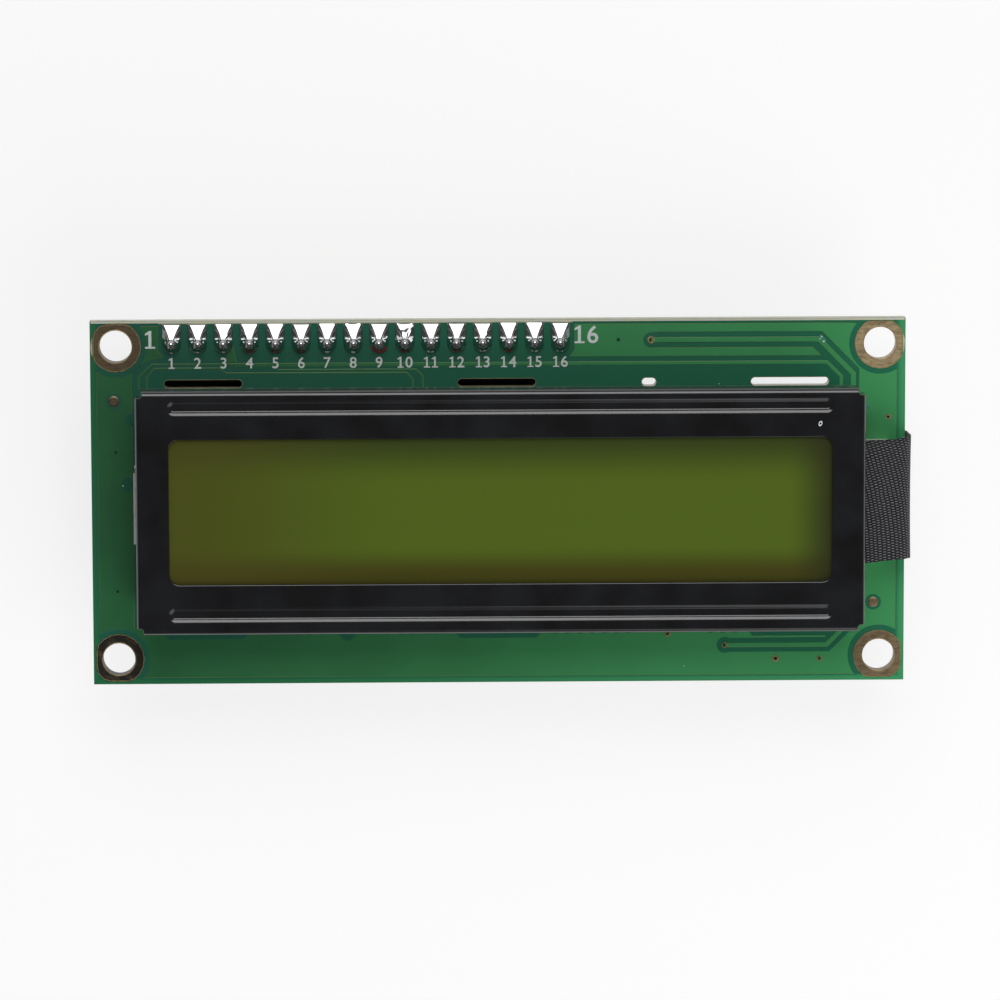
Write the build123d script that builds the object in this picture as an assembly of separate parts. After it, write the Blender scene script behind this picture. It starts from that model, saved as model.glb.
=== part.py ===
from build123d import *
import math
import os

# A two-line character display module with a small serial adapter board soldered behind its pin row.
# The origin is the centre of the four mounting holes, on the front face of the display board.
# X runs along the board, Y towards the pin row, and Z out of the display. All sizes are in millimetres.

os.makedirs("parts", exist_ok=True)

# Display board
board_length = 80.0
board_width = 36.0
board_thickness = 1.6
mounting_hole_inset = 2.5
mounting_hole_diameter = 3.2
plating_thickness = 0.05
mounting_pad_diameter = 5.0
pad_edge_margin = 0.3

# Clearance holes beside the display, in two rows of slots and one short slot
slot_length = 7.65
slot_width = 0.83
slot_end_inset = 11.2
slot_under_frame = 0.09
slot_row_x = -0.15
short_slot_length = 1.4
short_slot_shift = 0.55

# Pin row
pin_count = 16
pin_pitch = 2.54
pin_side = 0.64
pin_tip_chamfer = 0.12
first_pin_inset = 8.0
pin_row_inset = 2.25
pin_hole_diameter = 1.0
pin_front_reach = 1.4
spacer_height = 2.54
spacer_width = 2.5
spacer_notch = 0.5

# Solder on the pin row
solder_pad_width = 1.84
solder_pad_top_margin = 0.45
solder_pad_below_pin = 1.18
solder_pad_foot = 1.0
solder_height = 1.05
solder_tip_width = 0.96
solder_tip_reach = 0.42
solder_tip_foot = 0.5

# Display frame, folded from sheet steel and set in from the board's edges
display_x = 0.1
bezel_end_margin = 4.6
bezel_side_margin = 6.15
bezel_top = 7.0
sheet = 0.4
bend_outer = 0.8
wall_drop = 2.4
window_end_margin = 3.15
window_side_margin = 4.75
window_corner = 0.7
window_edge_round = 0.1
groove_end_margin = 3.2
groove_side_margin = 1.95
groove_width = 1.45
groove_depth = 0.25
groove_taper = 30.0
tab_width = 2.4
tab_side_margin = 2.95
tab_foot = 1.7
tab_bend_inner = 0.3
tab_side_clearance = 0.2
tab_face_clearance = 0.15
key_tab_width = 7.1
key_tab_step = 0.35

# Liquid crystal cell
polarizer_thickness = 0.25
glass_thickness = 1.1
glass_end_gap = 0.4
glass_side_gap = 0.25
glass_ledge = 2.2
polarizer_margin = 1.0

# Contact strips between the glass ledge and the board
contact_strip_width = 1.6
contact_strip_end_margin = 3.9
contact_strip_gap = 0.2

# Backlight
backlight_end_gap = 0.3
backlight_side_reach = 0.05
backlight_wall = 1.1
backlight_floor = 0.6
diffuser_thickness = 0.2
diffuser_ledge = 0.5
light_gap = 0.15
tongue_width = 11.2
tongue_y = 0.4
tongue_edge_gap = 1.7
tongue_drop = 0.3
led_count = 3
led_pitch = 3.2
led_width = 2.0
led_height = 1.4
led_depth = 0.8
led_board_thickness = 0.6
lamp_leg_diameter = 0.5
lamp_leg_hole = 0.7
lamp_leg_spread = 6.0
lamp_leg_reach = 0.9
lamp_joint_radius = 0.7
lamp_joint_height = 0.6

# Woven tape over the end of the backlight and the board's edge
tape_side_reach = 0.4
tape_thickness = 0.3
tape_inner_reach = 0.3
tape_tuck = 2.6
tape_gap = 0.06
tape_fall_radius = 1.7
tape_fold_radius = 0.15

# Moulded drops over the two driver dies, and chip parts on the display board's rear
dome_diameter = 13.0
dome_height = 1.35
dome_lip = 0.25
dome_edge_inset = 11.8
controller_dome_inset = 32.0
driver_dome_inset = 21.0
chip_part_length = 2.0
chip_part_width = 1.25
chip_part_height = 0.5
chip_part_end = 0.4
chip_part_swell = 0.04
display_resistor_pitch = 3.6
display_resistor_count = 5
display_resistor_gap = 3.5
display_resistor_y = 3.0
display_capacitor_inset = 5.4
display_capacitor_pitch = 4.2
display_capacitor_count = 2
display_capacitor_height = 0.9

# Adapter board
adapter_width = 19.0
adapter_thickness = 1.6
adapter_end_margin = 1.7
adapter_top_margin = 1.5
pin_rear_reach = 1.3
joint_pad_radius = 0.95
joint_tip_radius = 0.5
joint_height = 0.9

# Expander chip in a wide sixteen-lead package, placed from the adapter's left and lower edges
expander_length = 10.3
expander_width = 7.5
expander_height = 2.3
expander_standoff = 0.12
expander_inset = 18.4
expander_rise = 6.65
expander_draft = 7.0
expander_notch_radius = 0.9
lead_pitch = 1.27
lead_width = 0.42
lead_thickness = 0.25
lead_span = 10.3
lead_foot = 0.9

# Contrast trimmer
trimmer_side = 6.8
trimmer_height = 4.9
trimmer_corner = 0.4
trimmer_rise = 7.15
rotor_diameter = 3.4
rotor_head_height = 0.9
rotor_stem_diameter = 1.8
rotor_stem_length = 1.8
rotor_clearance = 0.08
rotor_recess = 0.15
rotor_slot_width = 0.6
rotor_slot_depth = 0.55
trimmer_leg_diameter = 0.5
trimmer_leg_hole = 0.8
trimmer_leg_spread = 2.54
trimmer_leg_reach = 1.1

# Right-angle headers
angle_housing_depth = 2.54
angle_pin_stub = 1.5
angle_pin_free = 6.0
angle_pin_bend = 0.35
angle_pin_upper_reach = 1.1
angle_header_edge_gap = 0.05
serial_pin_count = 4
serial_header_rise = 7.6
jumper_pin_count = 2
jumper_header_rise = 9.25
cap_thickness = 2.4
cap_wall = 0.75
cap_pin_clearance = 0.08
cap_end_clearance = 0.15
cap_grip_depth = 0.25
cap_grip_margin = 1.8

# Small parts on the adapter, placed from its nearer end and its lower edge
adapter_resistor_inset = 9.1
adapter_resistor_rise = 3.15
adapter_resistor_pitch = 2.3
adapter_resistor_count = 4
adapter_capacitor_inset = 4.9
adapter_capacitor_rise = 5.95
adapter_led_inset = 3.8
adapter_led_rise = 2.15
adapter_led_height = 0.8
transistor_inset = 4.2
transistor_rise = 3.65
transistor_length = 2.9
transistor_width = 1.3
transistor_height = 1.0
transistor_lead_width = 0.4
transistor_lead_pitch = 1.9
transistor_lead_reach = 0.55
transistor_lead_height = 0.15


def spread(count, pitch):
    """Places of a centred row."""
    return [(i - (count - 1) / 2) * pitch for i in range(count)]


# Places worked out from the sizes above
half_length = board_length / 2
half_width = board_width / 2
hole_x = half_length - mounting_hole_inset
hole_y = half_width - mounting_hole_inset
pin_row_y = half_width - pin_row_inset
pin_xs = [first_pin_inset - half_length + pin_pitch * i for i in range(pin_count)]
bezel_length = board_length - 2 * bezel_end_margin
bezel_width = board_width - 2 * bezel_side_margin
bezel_under = bezel_top - sheet
wall_bottom = bezel_top - wall_drop
window_length = bezel_length - 2 * window_end_margin
window_width = bezel_width - 2 * window_side_margin
groove_length = bezel_length - 2 * groove_end_margin
groove_offset = bezel_width / 2 - groove_side_margin
tab_offset = bezel_width / 2 - tab_side_margin
slot_pitch = half_length - slot_end_inset
slot_row_offset = bezel_width / 2 - slot_under_frame
short_slot_x = slot_row_x + slot_pitch / 2 + short_slot_shift
front_glass_length = bezel_length - 2 * sheet - 2 * glass_end_gap
front_glass_width = bezel_width - 2 * sheet - 2 * glass_side_gap
rear_glass_width = front_glass_width - 2 * glass_ledge
glass_top = bezel_under - groove_depth
front_glass_under = glass_top - glass_thickness
rear_glass_under = front_glass_under - glass_thickness
backlight_length = front_glass_length - 2 * backlight_end_gap
backlight_width = rear_glass_width + 2 * backlight_side_reach
backlight_top = rear_glass_under - polarizer_thickness
contact_strip_length = bezel_length - 2 * contact_strip_end_margin
contact_strip_y = backlight_width / 2 + contact_strip_gap + contact_strip_width / 2
tray_right = display_x + backlight_length / 2
tongue_right = half_length - tongue_edge_gap
tongue_top = backlight_top - tongue_drop
lamp_board_right = tongue_right - backlight_wall
lamp_board_left = lamp_board_right - led_board_thickness
lamp_leg_x = (lamp_board_left + lamp_board_right) / 2
lamp_leg_ys = [tongue_y + y for y in spread(2, lamp_leg_spread)]
adapter_front = -board_thickness - spacer_height
adapter_rear = adapter_front - adapter_thickness
adapter_left = pin_xs[0] - adapter_end_margin
adapter_right = pin_xs[-1] + adapter_end_margin
adapter_upper = pin_row_y + adapter_top_margin
adapter_lower = adapter_upper - adapter_width
header_axis_z = adapter_rear - angle_housing_depth / 2
header_hole_margin = angle_header_edge_gap + angle_housing_depth + angle_pin_stub


def save(name, *solids):
    """Writes one named piece, or a group of like pieces, as a STEP file."""
    shape = solids[0] if len(solids) == 1 else Compound(children=list(solids))
    shape.label = name
    export_step(shape, f"parts/{name}.step")


def block(x_range, y_range, z_range):
    """A box between low and high values along each axis."""
    size = [high - low for low, high in (x_range, y_range, z_range)]
    corner = (x_range[0], y_range[0], z_range[0])
    return Pos(*corner) * Box(*size, align=(Align.MIN, Align.MIN, Align.MIN))


def upright(sketch, low, high):
    """A sketch drawn on the board's plane, raised between two heights."""
    return extrude(Pos(0, 0, low) * sketch, high - low, dir=(0, 0, 1))


def bent_strip(points, radii, thickness):
    """The section of a bent strip to the right of its outer path, with plain corners where no radii are given."""
    path = FilletPolyline(*points, radius=radii) if radii else Polyline(*points)
    kind = Kind.ARC if radii else Kind.INTERSECTION
    outline = offset(Wire(path.edges()), amount=thickness, side=Side.RIGHT, kind=kind, closed=True)
    return make_face(outline.edges())


def square_pin(x, y, low, high):
    """A straight square pin with chamfered tips."""
    pin = Pos(x, y, (low + high) / 2) * Box(pin_side, pin_side, high - low)
    tips = pin.edges().filter_by(Axis.Z, reverse=True)
    return chamfer(tips, pin_tip_chamfer)


# Display board with its mounting holes, slots and pin holes

def tab_slot(width, step):
    """A slot in the right half of the board for one folded tab of the frame."""
    outer = bezel_length / 2 + step + tab_face_clearance
    inner = bezel_length / 2 + step - sheet - tab_bend_inner
    opening = Rectangle(outer - inner, width + 2 * tab_side_clearance)
    return Pos((outer + inner) / 2, 0) * opening


def board_openings():
    """Every opening through the display board, as sketches on its plane."""
    mounting_radius = mounting_hole_diameter / 2 + plating_thickness
    openings = [Pos(x, y) * Circle(mounting_radius) for x in (-hole_x, hole_x) for y in (-hole_y, hole_y)]
    for y in (-slot_row_offset, slot_row_offset):
        openings += [Pos(slot_row_x + x, y) * SlotOverall(slot_length, slot_width) for x in spread(3, slot_pitch)]
    openings.append(Pos(short_slot_x, slot_row_offset) * SlotOverall(short_slot_length, slot_width))
    openings += [Pos(x, pin_row_y) * Circle(pin_hole_diameter / 2) for x in pin_xs]
    openings += [Pos(lamp_leg_x, y) * Circle(lamp_leg_hole / 2) for y in lamp_leg_ys]
    for y in (-tab_offset, tab_offset):
        openings.append(Pos(display_x, y) * tab_slot(tab_width, 0))
        openings.append(Pos(display_x, y) * mirror(tab_slot(tab_width, 0), Plane.YZ))
    openings.append(Pos(display_x, 0) * mirror(tab_slot(key_tab_width, key_tab_step), Plane.YZ))
    return openings


main_board = upright(Rectangle(board_length, board_width), -board_thickness, 0)
for opening in board_openings():
    main_board -= upright(opening, -board_thickness, 0)
save("main_board", main_board)


# Plated mounting holes: a ring on each face joined by the barrel, cut flat beside the board's edges

def plated_hole(x, y):
    """One plated mounting hole."""
    hole_radius = mounting_hole_diameter / 2
    ring = Circle(mounting_pad_diameter / 2)
    keep = Rectangle(board_length - 2 * pad_edge_margin, board_width - 2 * pad_edge_margin)
    ring = (Pos(x, y) * ring) & keep
    plating = upright(ring, 0, plating_thickness)
    plating += upright(ring, -board_thickness - plating_thickness, -board_thickness)
    plating += upright(Pos(x, y) * Circle(hole_radius + plating_thickness), -board_thickness, 0)
    bore = Pos(x, y) * Circle(hole_radius)
    return plating - upright(bore, -board_thickness - plating_thickness, plating_thickness)


save("mounting_pads", *[plated_hole(x, y) for x in (-hole_x, hole_x) for y in (-hole_y, hole_y)])


# Folded frame: a window plate with pressed grooves, four walls and the tabs that hold it to the board

def groove_slot(extra):
    """The outline of one pressed groove, wider by the given amount."""
    return SlotOverall(groove_length + extra, groove_width + extra)


def tab(width, step):
    """A folded tab at the right end: down from the wall, through the board and under it."""
    outer = bezel_length / 2
    foot_z = -board_thickness - sheet
    fold = tab_bend_inner + sheet
    if step > 0:
        points = [(outer, wall_bottom + sheet), (outer, wall_bottom - sheet / 2)]
        points += [(outer + step, wall_bottom - sheet / 2 - step), (outer + step, foot_z)]
        radii = [sheet / 2, sheet * 3 / 2, fold]
    else:
        points = [(outer, wall_bottom), (outer, foot_z)]
        radii = [fold]
    points.append((outer + step - tab_foot, foot_z))
    section = Plane.XZ * bent_strip(points, radii, sheet)
    return extrude(section, width / 2, both=True)


def folded_frame():
    """The whole frame, centred on the display."""
    flat_length = bezel_length - 2 * bend_outer
    flat_width = bezel_width - 2 * bend_outer
    frame = upright(Rectangle(flat_length, flat_width), bezel_under, bezel_top)
    long_start = flat_width / 2 - sheet
    long_points = [(long_start, bezel_top), (bezel_width / 2, bezel_top), (bezel_width / 2, wall_bottom)]
    long_wall = extrude(Plane.YZ * bent_strip(long_points, [bend_outer], sheet), flat_length / 2, both=True)
    end_start = flat_length / 2 - sheet
    end_points = [(end_start, bezel_top), (bezel_length / 2, bezel_top), (bezel_length / 2, wall_bottom)]
    end_wall = extrude(Plane.XZ * bent_strip(end_points, [bend_outer], sheet), flat_width / 2, both=True)
    frame += long_wall + mirror(long_wall, Plane.XZ) + end_wall + mirror(end_wall, Plane.YZ)
    for y in (-groove_offset, groove_offset):
        bulge = Pos(0, y, bezel_under) * groove_slot(sheet / 2)
        frame += extrude(bulge, groove_depth, dir=(0, 0, -1), taper=groove_taper)
        dent = Pos(0, y, bezel_top) * groove_slot(0)
        frame -= extrude(dent, groove_depth, dir=(0, 0, -1), taper=groove_taper)
    window = RectangleRounded(window_length, window_width, window_corner)
    frame -= upright(window, bezel_under, bezel_top)
    rim = frame.edges().filter_by_position(Axis.Z, bezel_top, bezel_top)
    rim = [e for e in rim if abs(e.center().X) <= window_length / 2 and abs(e.center().Y) <= window_width / 2]
    frame = fillet(rim, window_edge_round)
    for y in (-tab_offset, tab_offset):
        narrow = Pos(0, y) * tab(tab_width, 0)
        frame += narrow + mirror(narrow, Plane.YZ)
    return frame + mirror(tab(key_tab_width, key_tab_step), Plane.YZ)


save("bezel", Pos(display_x, 0) * folded_frame())

# Liquid crystal cell: two glasses and two polarizing films
film = Pos(display_x, 0) * Rectangle(window_length + 2 * polarizer_margin, window_width + 2 * polarizer_margin)
front_glass = Pos(display_x, 0) * Rectangle(front_glass_length, front_glass_width)
rear_glass = Pos(display_x, 0) * Rectangle(front_glass_length, rear_glass_width)
save("front_polarizer", upright(film, bezel_under - polarizer_thickness, bezel_under))
save("front_glass", upright(front_glass, front_glass_under, glass_top))
save("rear_glass", upright(rear_glass, rear_glass_under, front_glass_under))
save("rear_polarizer", upright(film, backlight_top, rear_glass_under))

# Rubber contact strips that stand on the board and press against the front glass ledge
contact_strip = Rectangle(contact_strip_length, contact_strip_width)
for name, side in (("contact_strip_upper", 1), ("contact_strip_lower", -1)):
    save(name, upright(Pos(display_x, side * contact_strip_y) * contact_strip, 0, front_glass_under))

# Backlight: a white tray with a tongue at its right end, a light guide, a diffuser and the lamp strip
diffuser_z = backlight_top - diffuser_thickness
lamp_front = lamp_board_left - led_depth
lamp_top = diffuser_z - backlight_floor - light_gap
lamp_side = tongue_width / 2 - backlight_wall - light_gap
lamp_range = (tongue_y - lamp_side, tongue_y + lamp_side)


def backlight_tray():
    """The moulded tray, open above, with its diffuser ledge and the covered tongue."""
    tray = upright(Pos(display_x, 0) * Rectangle(backlight_length, backlight_width), 0, backlight_top)
    tongue_side = tongue_width / 2
    tray += block((tray_right - backlight_wall, tongue_right),
                  (tongue_y - tongue_side, tongue_y + tongue_side), (0, tongue_top))
    inner = backlight_width / 2 - backlight_wall
    left = display_x - backlight_length / 2 + backlight_wall
    right = tray_right - backlight_wall
    tray -= block((left, right), (-inner, inner), (backlight_floor, backlight_top))
    ledge = diffuser_ledge
    tray -= block((left - ledge, right + ledge), (-inner - ledge, inner + ledge), (diffuser_z, backlight_top))
    inner_side = tongue_side - backlight_wall
    tray -= block((right, lamp_board_right), (tongue_y - inner_side, tongue_y + inner_side),
                  (backlight_floor, diffuser_z - backlight_floor))
    for y in lamp_leg_ys:
        tray -= upright(Pos(lamp_leg_x, y) * Circle(lamp_leg_hole / 2), 0, backlight_floor)
    return tray


save("backlight_tray", backlight_tray())

diffuser = Rectangle(backlight_length - 2 * backlight_wall, backlight_width - 2 * backlight_wall)
save("diffuser_film", upright(Pos(display_x, 0) * diffuser, diffuser_z, backlight_top))

guide_side = backlight_width / 2 - backlight_wall - light_gap
guide_left = display_x - backlight_length / 2 + backlight_wall + light_gap
guide_right = tray_right - backlight_wall - light_gap
guide = block((guide_left, guide_right), (-guide_side, guide_side), (backlight_floor, diffuser_z))
guide += block((guide_right, lamp_front - light_gap), lamp_range, (backlight_floor, lamp_top))
save("light_guide", guide)

save("led_board", block((lamp_board_left, lamp_board_right), lamp_range, (backlight_floor, lamp_top)))


def lamp(y):
    """One side-view light source on the lamp strip."""
    middle = (backlight_floor + lamp_top) / 2
    return block((lamp_front, lamp_board_left), (y - led_width / 2, y + led_width / 2),
                 (middle - led_height / 2, middle + led_height / 2))


save("backlight_leds", *[lamp(tongue_y + y) for y in spread(led_count, led_pitch)])

# Two legs feed the lamp strip through the board and are soldered behind it
lamp_leg = Circle(lamp_leg_diameter / 2)
lamp_leg_low = -board_thickness - lamp_leg_reach
save("lamp_legs", *[upright(Pos(lamp_leg_x, y) * lamp_leg, lamp_leg_low, backlight_floor) for y in lamp_leg_ys])


def lamp_joint(y):
    """The solder of one lamp leg behind the display board, with the fill of its hole."""
    cone_angle = math.degrees(math.atan((lamp_joint_radius - lamp_leg_diameter) / lamp_joint_height))
    pad = Pos(lamp_leg_x, y, -board_thickness) * RegularPolygon(lamp_joint_radius, 8)
    joint = extrude(pad, lamp_joint_height, dir=(0, 0, -1), taper=cone_angle)
    joint += upright(Pos(lamp_leg_x, y) * RegularPolygon(lamp_leg_hole / 2, 8), -board_thickness, 0)
    return joint - upright(Pos(lamp_leg_x, y) * lamp_leg, lamp_leg_low, 0)


save("lamp_solder", *[lamp_joint(y) for y in lamp_leg_ys])


# Woven tape: flat on the tongue, falling over the board's edge and tucked under it

def tape_section():
    """The tape's section across the board's edge, drawn along its outer face."""
    top = tongue_top + tape_gap + tape_thickness
    outer = half_length + tape_gap + tape_thickness
    under = -board_thickness - tape_gap - tape_thickness
    start = tray_right + tape_gap + tape_inner_reach
    fold = tape_fold_radius + tape_thickness
    points = [(start, top), (outer, top), (outer, under), (outer - tape_tuck, under)]
    return bent_strip(points, [tape_fall_radius, fold], tape_thickness)


tape = extrude(Plane.XZ * tape_section(), tongue_width / 2 + tape_side_reach, both=True)
save("cloth_tape", Pos(0, tongue_y) * tape)

# Pin row with its moulded spacer
pin_bottom = adapter_rear - pin_rear_reach
save("header_pins", *[square_pin(x, pin_row_y, pin_bottom, pin_front_reach) for x in pin_xs])


def spacer_outline():
    """The spacer seen from above: a bar with a notch between each pair of pins."""
    bar = Rectangle(pin_pitch * pin_count, spacer_width)
    notch = Rotation(0, 0, 45) * Rectangle(spacer_notch, spacer_notch)
    for x in spread(pin_count - 1, pin_pitch):
        bar -= Pos(x, spacer_width / 2) * notch
        bar -= Pos(x, -spacer_width / 2) * notch
    for x in spread(pin_count, pin_pitch):
        bar -= Pos(x, 0) * Rectangle(pin_side, pin_side)
    return bar


spacer_x = (pin_xs[0] + pin_xs[-1]) / 2
save("header_spacer", upright(Pos(spacer_x, pin_row_y) * spacer_outline(), adapter_front, -board_thickness))


# Solder joints on the front: a fillet that rises from the pad to the pin, longest towards the board's edge

def joint_outline(width, upper, lower, foot):
    """A joint's outline at one height, with straight sides and a narrower lower end."""
    half = width / 2
    points = [(-half, upper), (half, upper), (half, 0), (foot / 2, -lower), (-foot / 2, -lower), (-half, 0)]
    return make_face(Polyline(*points, close=True))


def front_joint(x):
    """The solder of one pin on the display board's front, with the fill of its hole."""
    pad_reach = pin_row_inset - solder_pad_top_margin
    pad = joint_outline(solder_pad_width, pad_reach, solder_pad_below_pin, solder_pad_foot)
    tip = joint_outline(solder_tip_width, solder_tip_reach, solder_tip_reach, solder_tip_foot)
    joint = Pos(x, pin_row_y) * loft([pad, Pos(0, 0, solder_height) * tip], ruled=True)
    joint += upright(Pos(x, pin_row_y) * RegularPolygon(pin_hole_diameter / 2, 8), -board_thickness, 0)
    return joint - square_pin(x, pin_row_y, pin_bottom, pin_front_reach)


save("front_solder", *[front_joint(x) for x in pin_xs])


# Moulded drops over the driver dies
dome_y = dome_edge_inset - half_width
controller_dome_x = controller_dome_inset - half_length
driver_dome_x = half_length - driver_dome_inset


def dome(x):
    """One moulded drop on the board's rear."""
    radius = dome_diameter / 2
    crown = TangentArc((0, -dome_height), (radius, -dome_lip), tangent=(1, 0))
    side = Polyline((radius, -dome_lip), (radius, 0), (0, 0), (0, -dome_height))
    profile = make_face(crown.edges() + side.edges())
    return Pos(x, dome_y, -board_thickness) * revolve(Plane.XZ * profile, Axis.Z)


save("controller_dome", dome(controller_dome_x))
save("driver_dome", dome(driver_dome_x))


# Chip resistors, capacitors and the status light, each a body with its metal end caps

def chip_part(x, y, surface, height, turned):
    """One chip part that hangs below the given surface, lying along X or turned along Y."""
    core = chip_part_length - 2 * chip_part_end
    part = Box(core, chip_part_width, height - 2 * chip_part_swell)
    for side in (-1, 1):
        cap_x = side * (chip_part_length - chip_part_end) / 2
        part += Pos(cap_x, 0) * Box(chip_part_end, chip_part_width + 2 * chip_part_swell, height)
    return Pos(x, y, surface - height / 2) * Rotation(0, 0, 90 if turned else 0) * part


display_part_x = driver_dome_x + dome_diameter / 2 + display_resistor_gap + chip_part_length / 2
save("display_resistors", *[
    chip_part(display_part_x, display_resistor_y + y, -board_thickness, chip_part_height, False)
    for y in spread(display_resistor_count, display_resistor_pitch)])
save("display_capacitors", *[
    chip_part(display_part_x + x, display_capacitor_inset - half_width, -board_thickness,
              display_capacitor_height, False)
    for x in spread(display_capacitor_count, display_capacitor_pitch)])
save("adapter_resistors", *[
    chip_part(adapter_left + adapter_resistor_inset, adapter_lower + adapter_resistor_rise + y, adapter_rear,
              chip_part_height, False)
    for y in [adapter_resistor_pitch * i for i in range(adapter_resistor_count)]])
save("adapter_capacitor", chip_part(adapter_right - adapter_capacitor_inset, adapter_lower + adapter_capacitor_rise,
                                    adapter_rear, display_capacitor_height, True))
save("adapter_led", chip_part(adapter_left + adapter_led_inset, adapter_lower + adapter_led_rise,
                              adapter_rear, adapter_led_height, True))


# Adapter board and its solder

def header_hole_x(side):
    """The X of a right-angle header's soldered holes, at the board's left or right end."""
    return adapter_left + header_hole_margin if side < 0 else adapter_right - header_hole_margin


expander_x = adapter_left + expander_inset
expander_y = adapter_lower + expander_rise
trimmer_x = (expander_x + expander_length / 2 + header_hole_x(1)) / 2
trimmer_y = adapter_lower + trimmer_rise
serial_ys = [adapter_lower + serial_header_rise + y for y in spread(serial_pin_count, pin_pitch)]
jumper_ys = [adapter_lower + jumper_header_rise + y for y in spread(jumper_pin_count, pin_pitch)]
trimmer_legs = [(trimmer_x - trimmer_leg_spread, trimmer_y), (trimmer_x + trimmer_leg_spread, trimmer_y),
                (trimmer_x, trimmer_y - trimmer_leg_spread)]
header_points = [(header_hole_x(-1), y) for y in serial_ys] + [(header_hole_x(1), y) for y in jumper_ys]
pin_points = [(x, pin_row_y) for x in pin_xs]

adapter_outline = Pos((adapter_left + adapter_right) / 2, (adapter_upper + adapter_lower) / 2)
adapter_board = upright(adapter_outline * Rectangle(adapter_right - adapter_left, adapter_width),
                        adapter_rear, adapter_front)
for x, y in pin_points + header_points:
    adapter_board -= upright(Pos(x, y) * Circle(pin_hole_diameter / 2), adapter_rear, adapter_front)
for x, y in trimmer_legs:
    adapter_board -= upright(Pos(x, y) * Circle(trimmer_leg_hole / 2), adapter_rear, adapter_front)
save("adapter_board", adapter_board)


def adapter_joint(x, y, face, way, hole, pin):
    """The solder round one pin, on the given face of the adapter board, with the fill of its hole."""
    cone_angle = math.degrees(math.atan((joint_pad_radius - joint_tip_radius) / joint_height))
    pad = Pos(x, y, face) * RegularPolygon(joint_pad_radius, 8)
    joint = extrude(pad, joint_height, dir=(0, 0, way), taper=cone_angle)
    joint += upright(Pos(x, y) * hole, adapter_rear, adapter_front)
    return joint - upright(Pos(x, y) * pin, adapter_rear - joint_height, adapter_front + joint_height)


pin_hole = RegularPolygon(pin_hole_diameter / 2, 8)
pin_square = Rectangle(pin_side, pin_side)
leg_hole = RegularPolygon(trimmer_leg_hole / 2, 8)
leg_round = Circle(trimmer_leg_diameter / 2)
save("rear_solder", *[adapter_joint(x, y, adapter_rear, -1, pin_hole, pin_square) for x, y in pin_points])
save("header_solder", *[adapter_joint(x, y, adapter_front, 1, pin_hole, pin_square) for x, y in header_points])
save("trimmer_solder", *[adapter_joint(x, y, adapter_front, 1, leg_hole, leg_round) for x, y in trimmer_legs])


# Expander chip: a moulded body with a pin-one notch, and sixteen gull-wing leads

expander_top = adapter_rear - expander_standoff
lead_exit = expander_top - expander_height / 2


def expander_body():
    """The chip's body, drafted both ways from the plane where its leads leave."""
    middle = Pos(expander_x, expander_y, lead_exit) * Rectangle(expander_length, expander_width)
    body = extrude(middle, expander_height / 2, dir=(0, 0, -1), taper=expander_draft)
    body += extrude(middle, expander_height / 2, dir=(0, 0, 1), taper=expander_draft)
    notch = Pos(expander_x - expander_length / 2, expander_y, expander_top - expander_height)
    return body - notch * Cylinder(expander_notch_radius, expander_notch_radius / 2)


def lead(x, side):
    """One gull-wing lead on the upper or lower side of the chip."""
    root = expander_width / 2 - lead_thickness
    tip = lead_span / 2
    knee = tip - lead_foot
    points = [(root, lead_exit), (knee, lead_exit), (knee, adapter_rear), (tip, adapter_rear)]
    section = Plane.YZ * bent_strip(points, [], lead_thickness)
    body = Pos(x, expander_y, 0) * extrude(section, lead_width / 2, both=True)
    return body if side > 0 else mirror(body, Plane.XZ.offset(-expander_y))


leads = [lead(expander_x + x, side) for side in (-1, 1) for x in spread(pin_count // 2, lead_pitch)]
chip = expander_body()
for piece in leads:
    chip -= piece
save("expander_chip", chip)
save("expander_leads", *leads)

# Contrast trimmer: a square body with a round well, and a rotor with a crossed slot held in the well
trimmer_face = adapter_rear - trimmer_height
head_low = trimmer_face + rotor_recess
head_high = head_low + rotor_head_height
stem_high = head_high + rotor_stem_length
trimmer_place = Pos(trimmer_x, trimmer_y)
case = RectangleRounded(trimmer_side, trimmer_side, trimmer_corner)
well = Circle(rotor_diameter / 2 + rotor_clearance)
stem_bore = Circle(rotor_stem_diameter / 2 + rotor_clearance)
trimmer = upright(trimmer_place * case, trimmer_face, adapter_rear)
trimmer -= upright(trimmer_place * well, trimmer_face, head_high + rotor_clearance)
trimmer -= upright(trimmer_place * stem_bore, head_high, stem_high + rotor_clearance)
save("trimmer_body", trimmer)

rotor = upright(trimmer_place * Circle(rotor_diameter / 2), head_low, head_high)
rotor += upright(trimmer_place * Circle(rotor_stem_diameter / 2), head_high, stem_high)
for slot_x, slot_y in ((rotor_diameter, rotor_slot_width), (rotor_slot_width, rotor_diameter)):
    rotor -= upright(trimmer_place * Rectangle(slot_x, slot_y), head_low, head_low + rotor_slot_depth)
save("trimmer_rotor", rotor)

save("trimmer_legs", *[
    upright(Pos(x, y) * Circle(trimmer_leg_diameter / 2), adapter_rear, adapter_front + trimmer_leg_reach)
    for x, y in trimmer_legs])


# Right-angle headers: a four-way one at the left end, and a two-way one with a pull-off cap at the right

def angle_pin(y, side):
    """One pin, up through the adapter board and out past its left or right end."""
    half = pin_side / 2
    reach = angle_pin_stub + angle_housing_depth + angle_pin_free
    points = [(reach, header_axis_z - half), (-half, header_axis_z - half),
              (-half, adapter_front + angle_pin_upper_reach)]
    section = Plane.XZ * bent_strip(points, [angle_pin_bend + pin_side], pin_side)
    pin = extrude(section, half, both=True)
    return Pos(header_hole_x(side), y) * (pin if side > 0 else mirror(pin, Plane.YZ))


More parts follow.
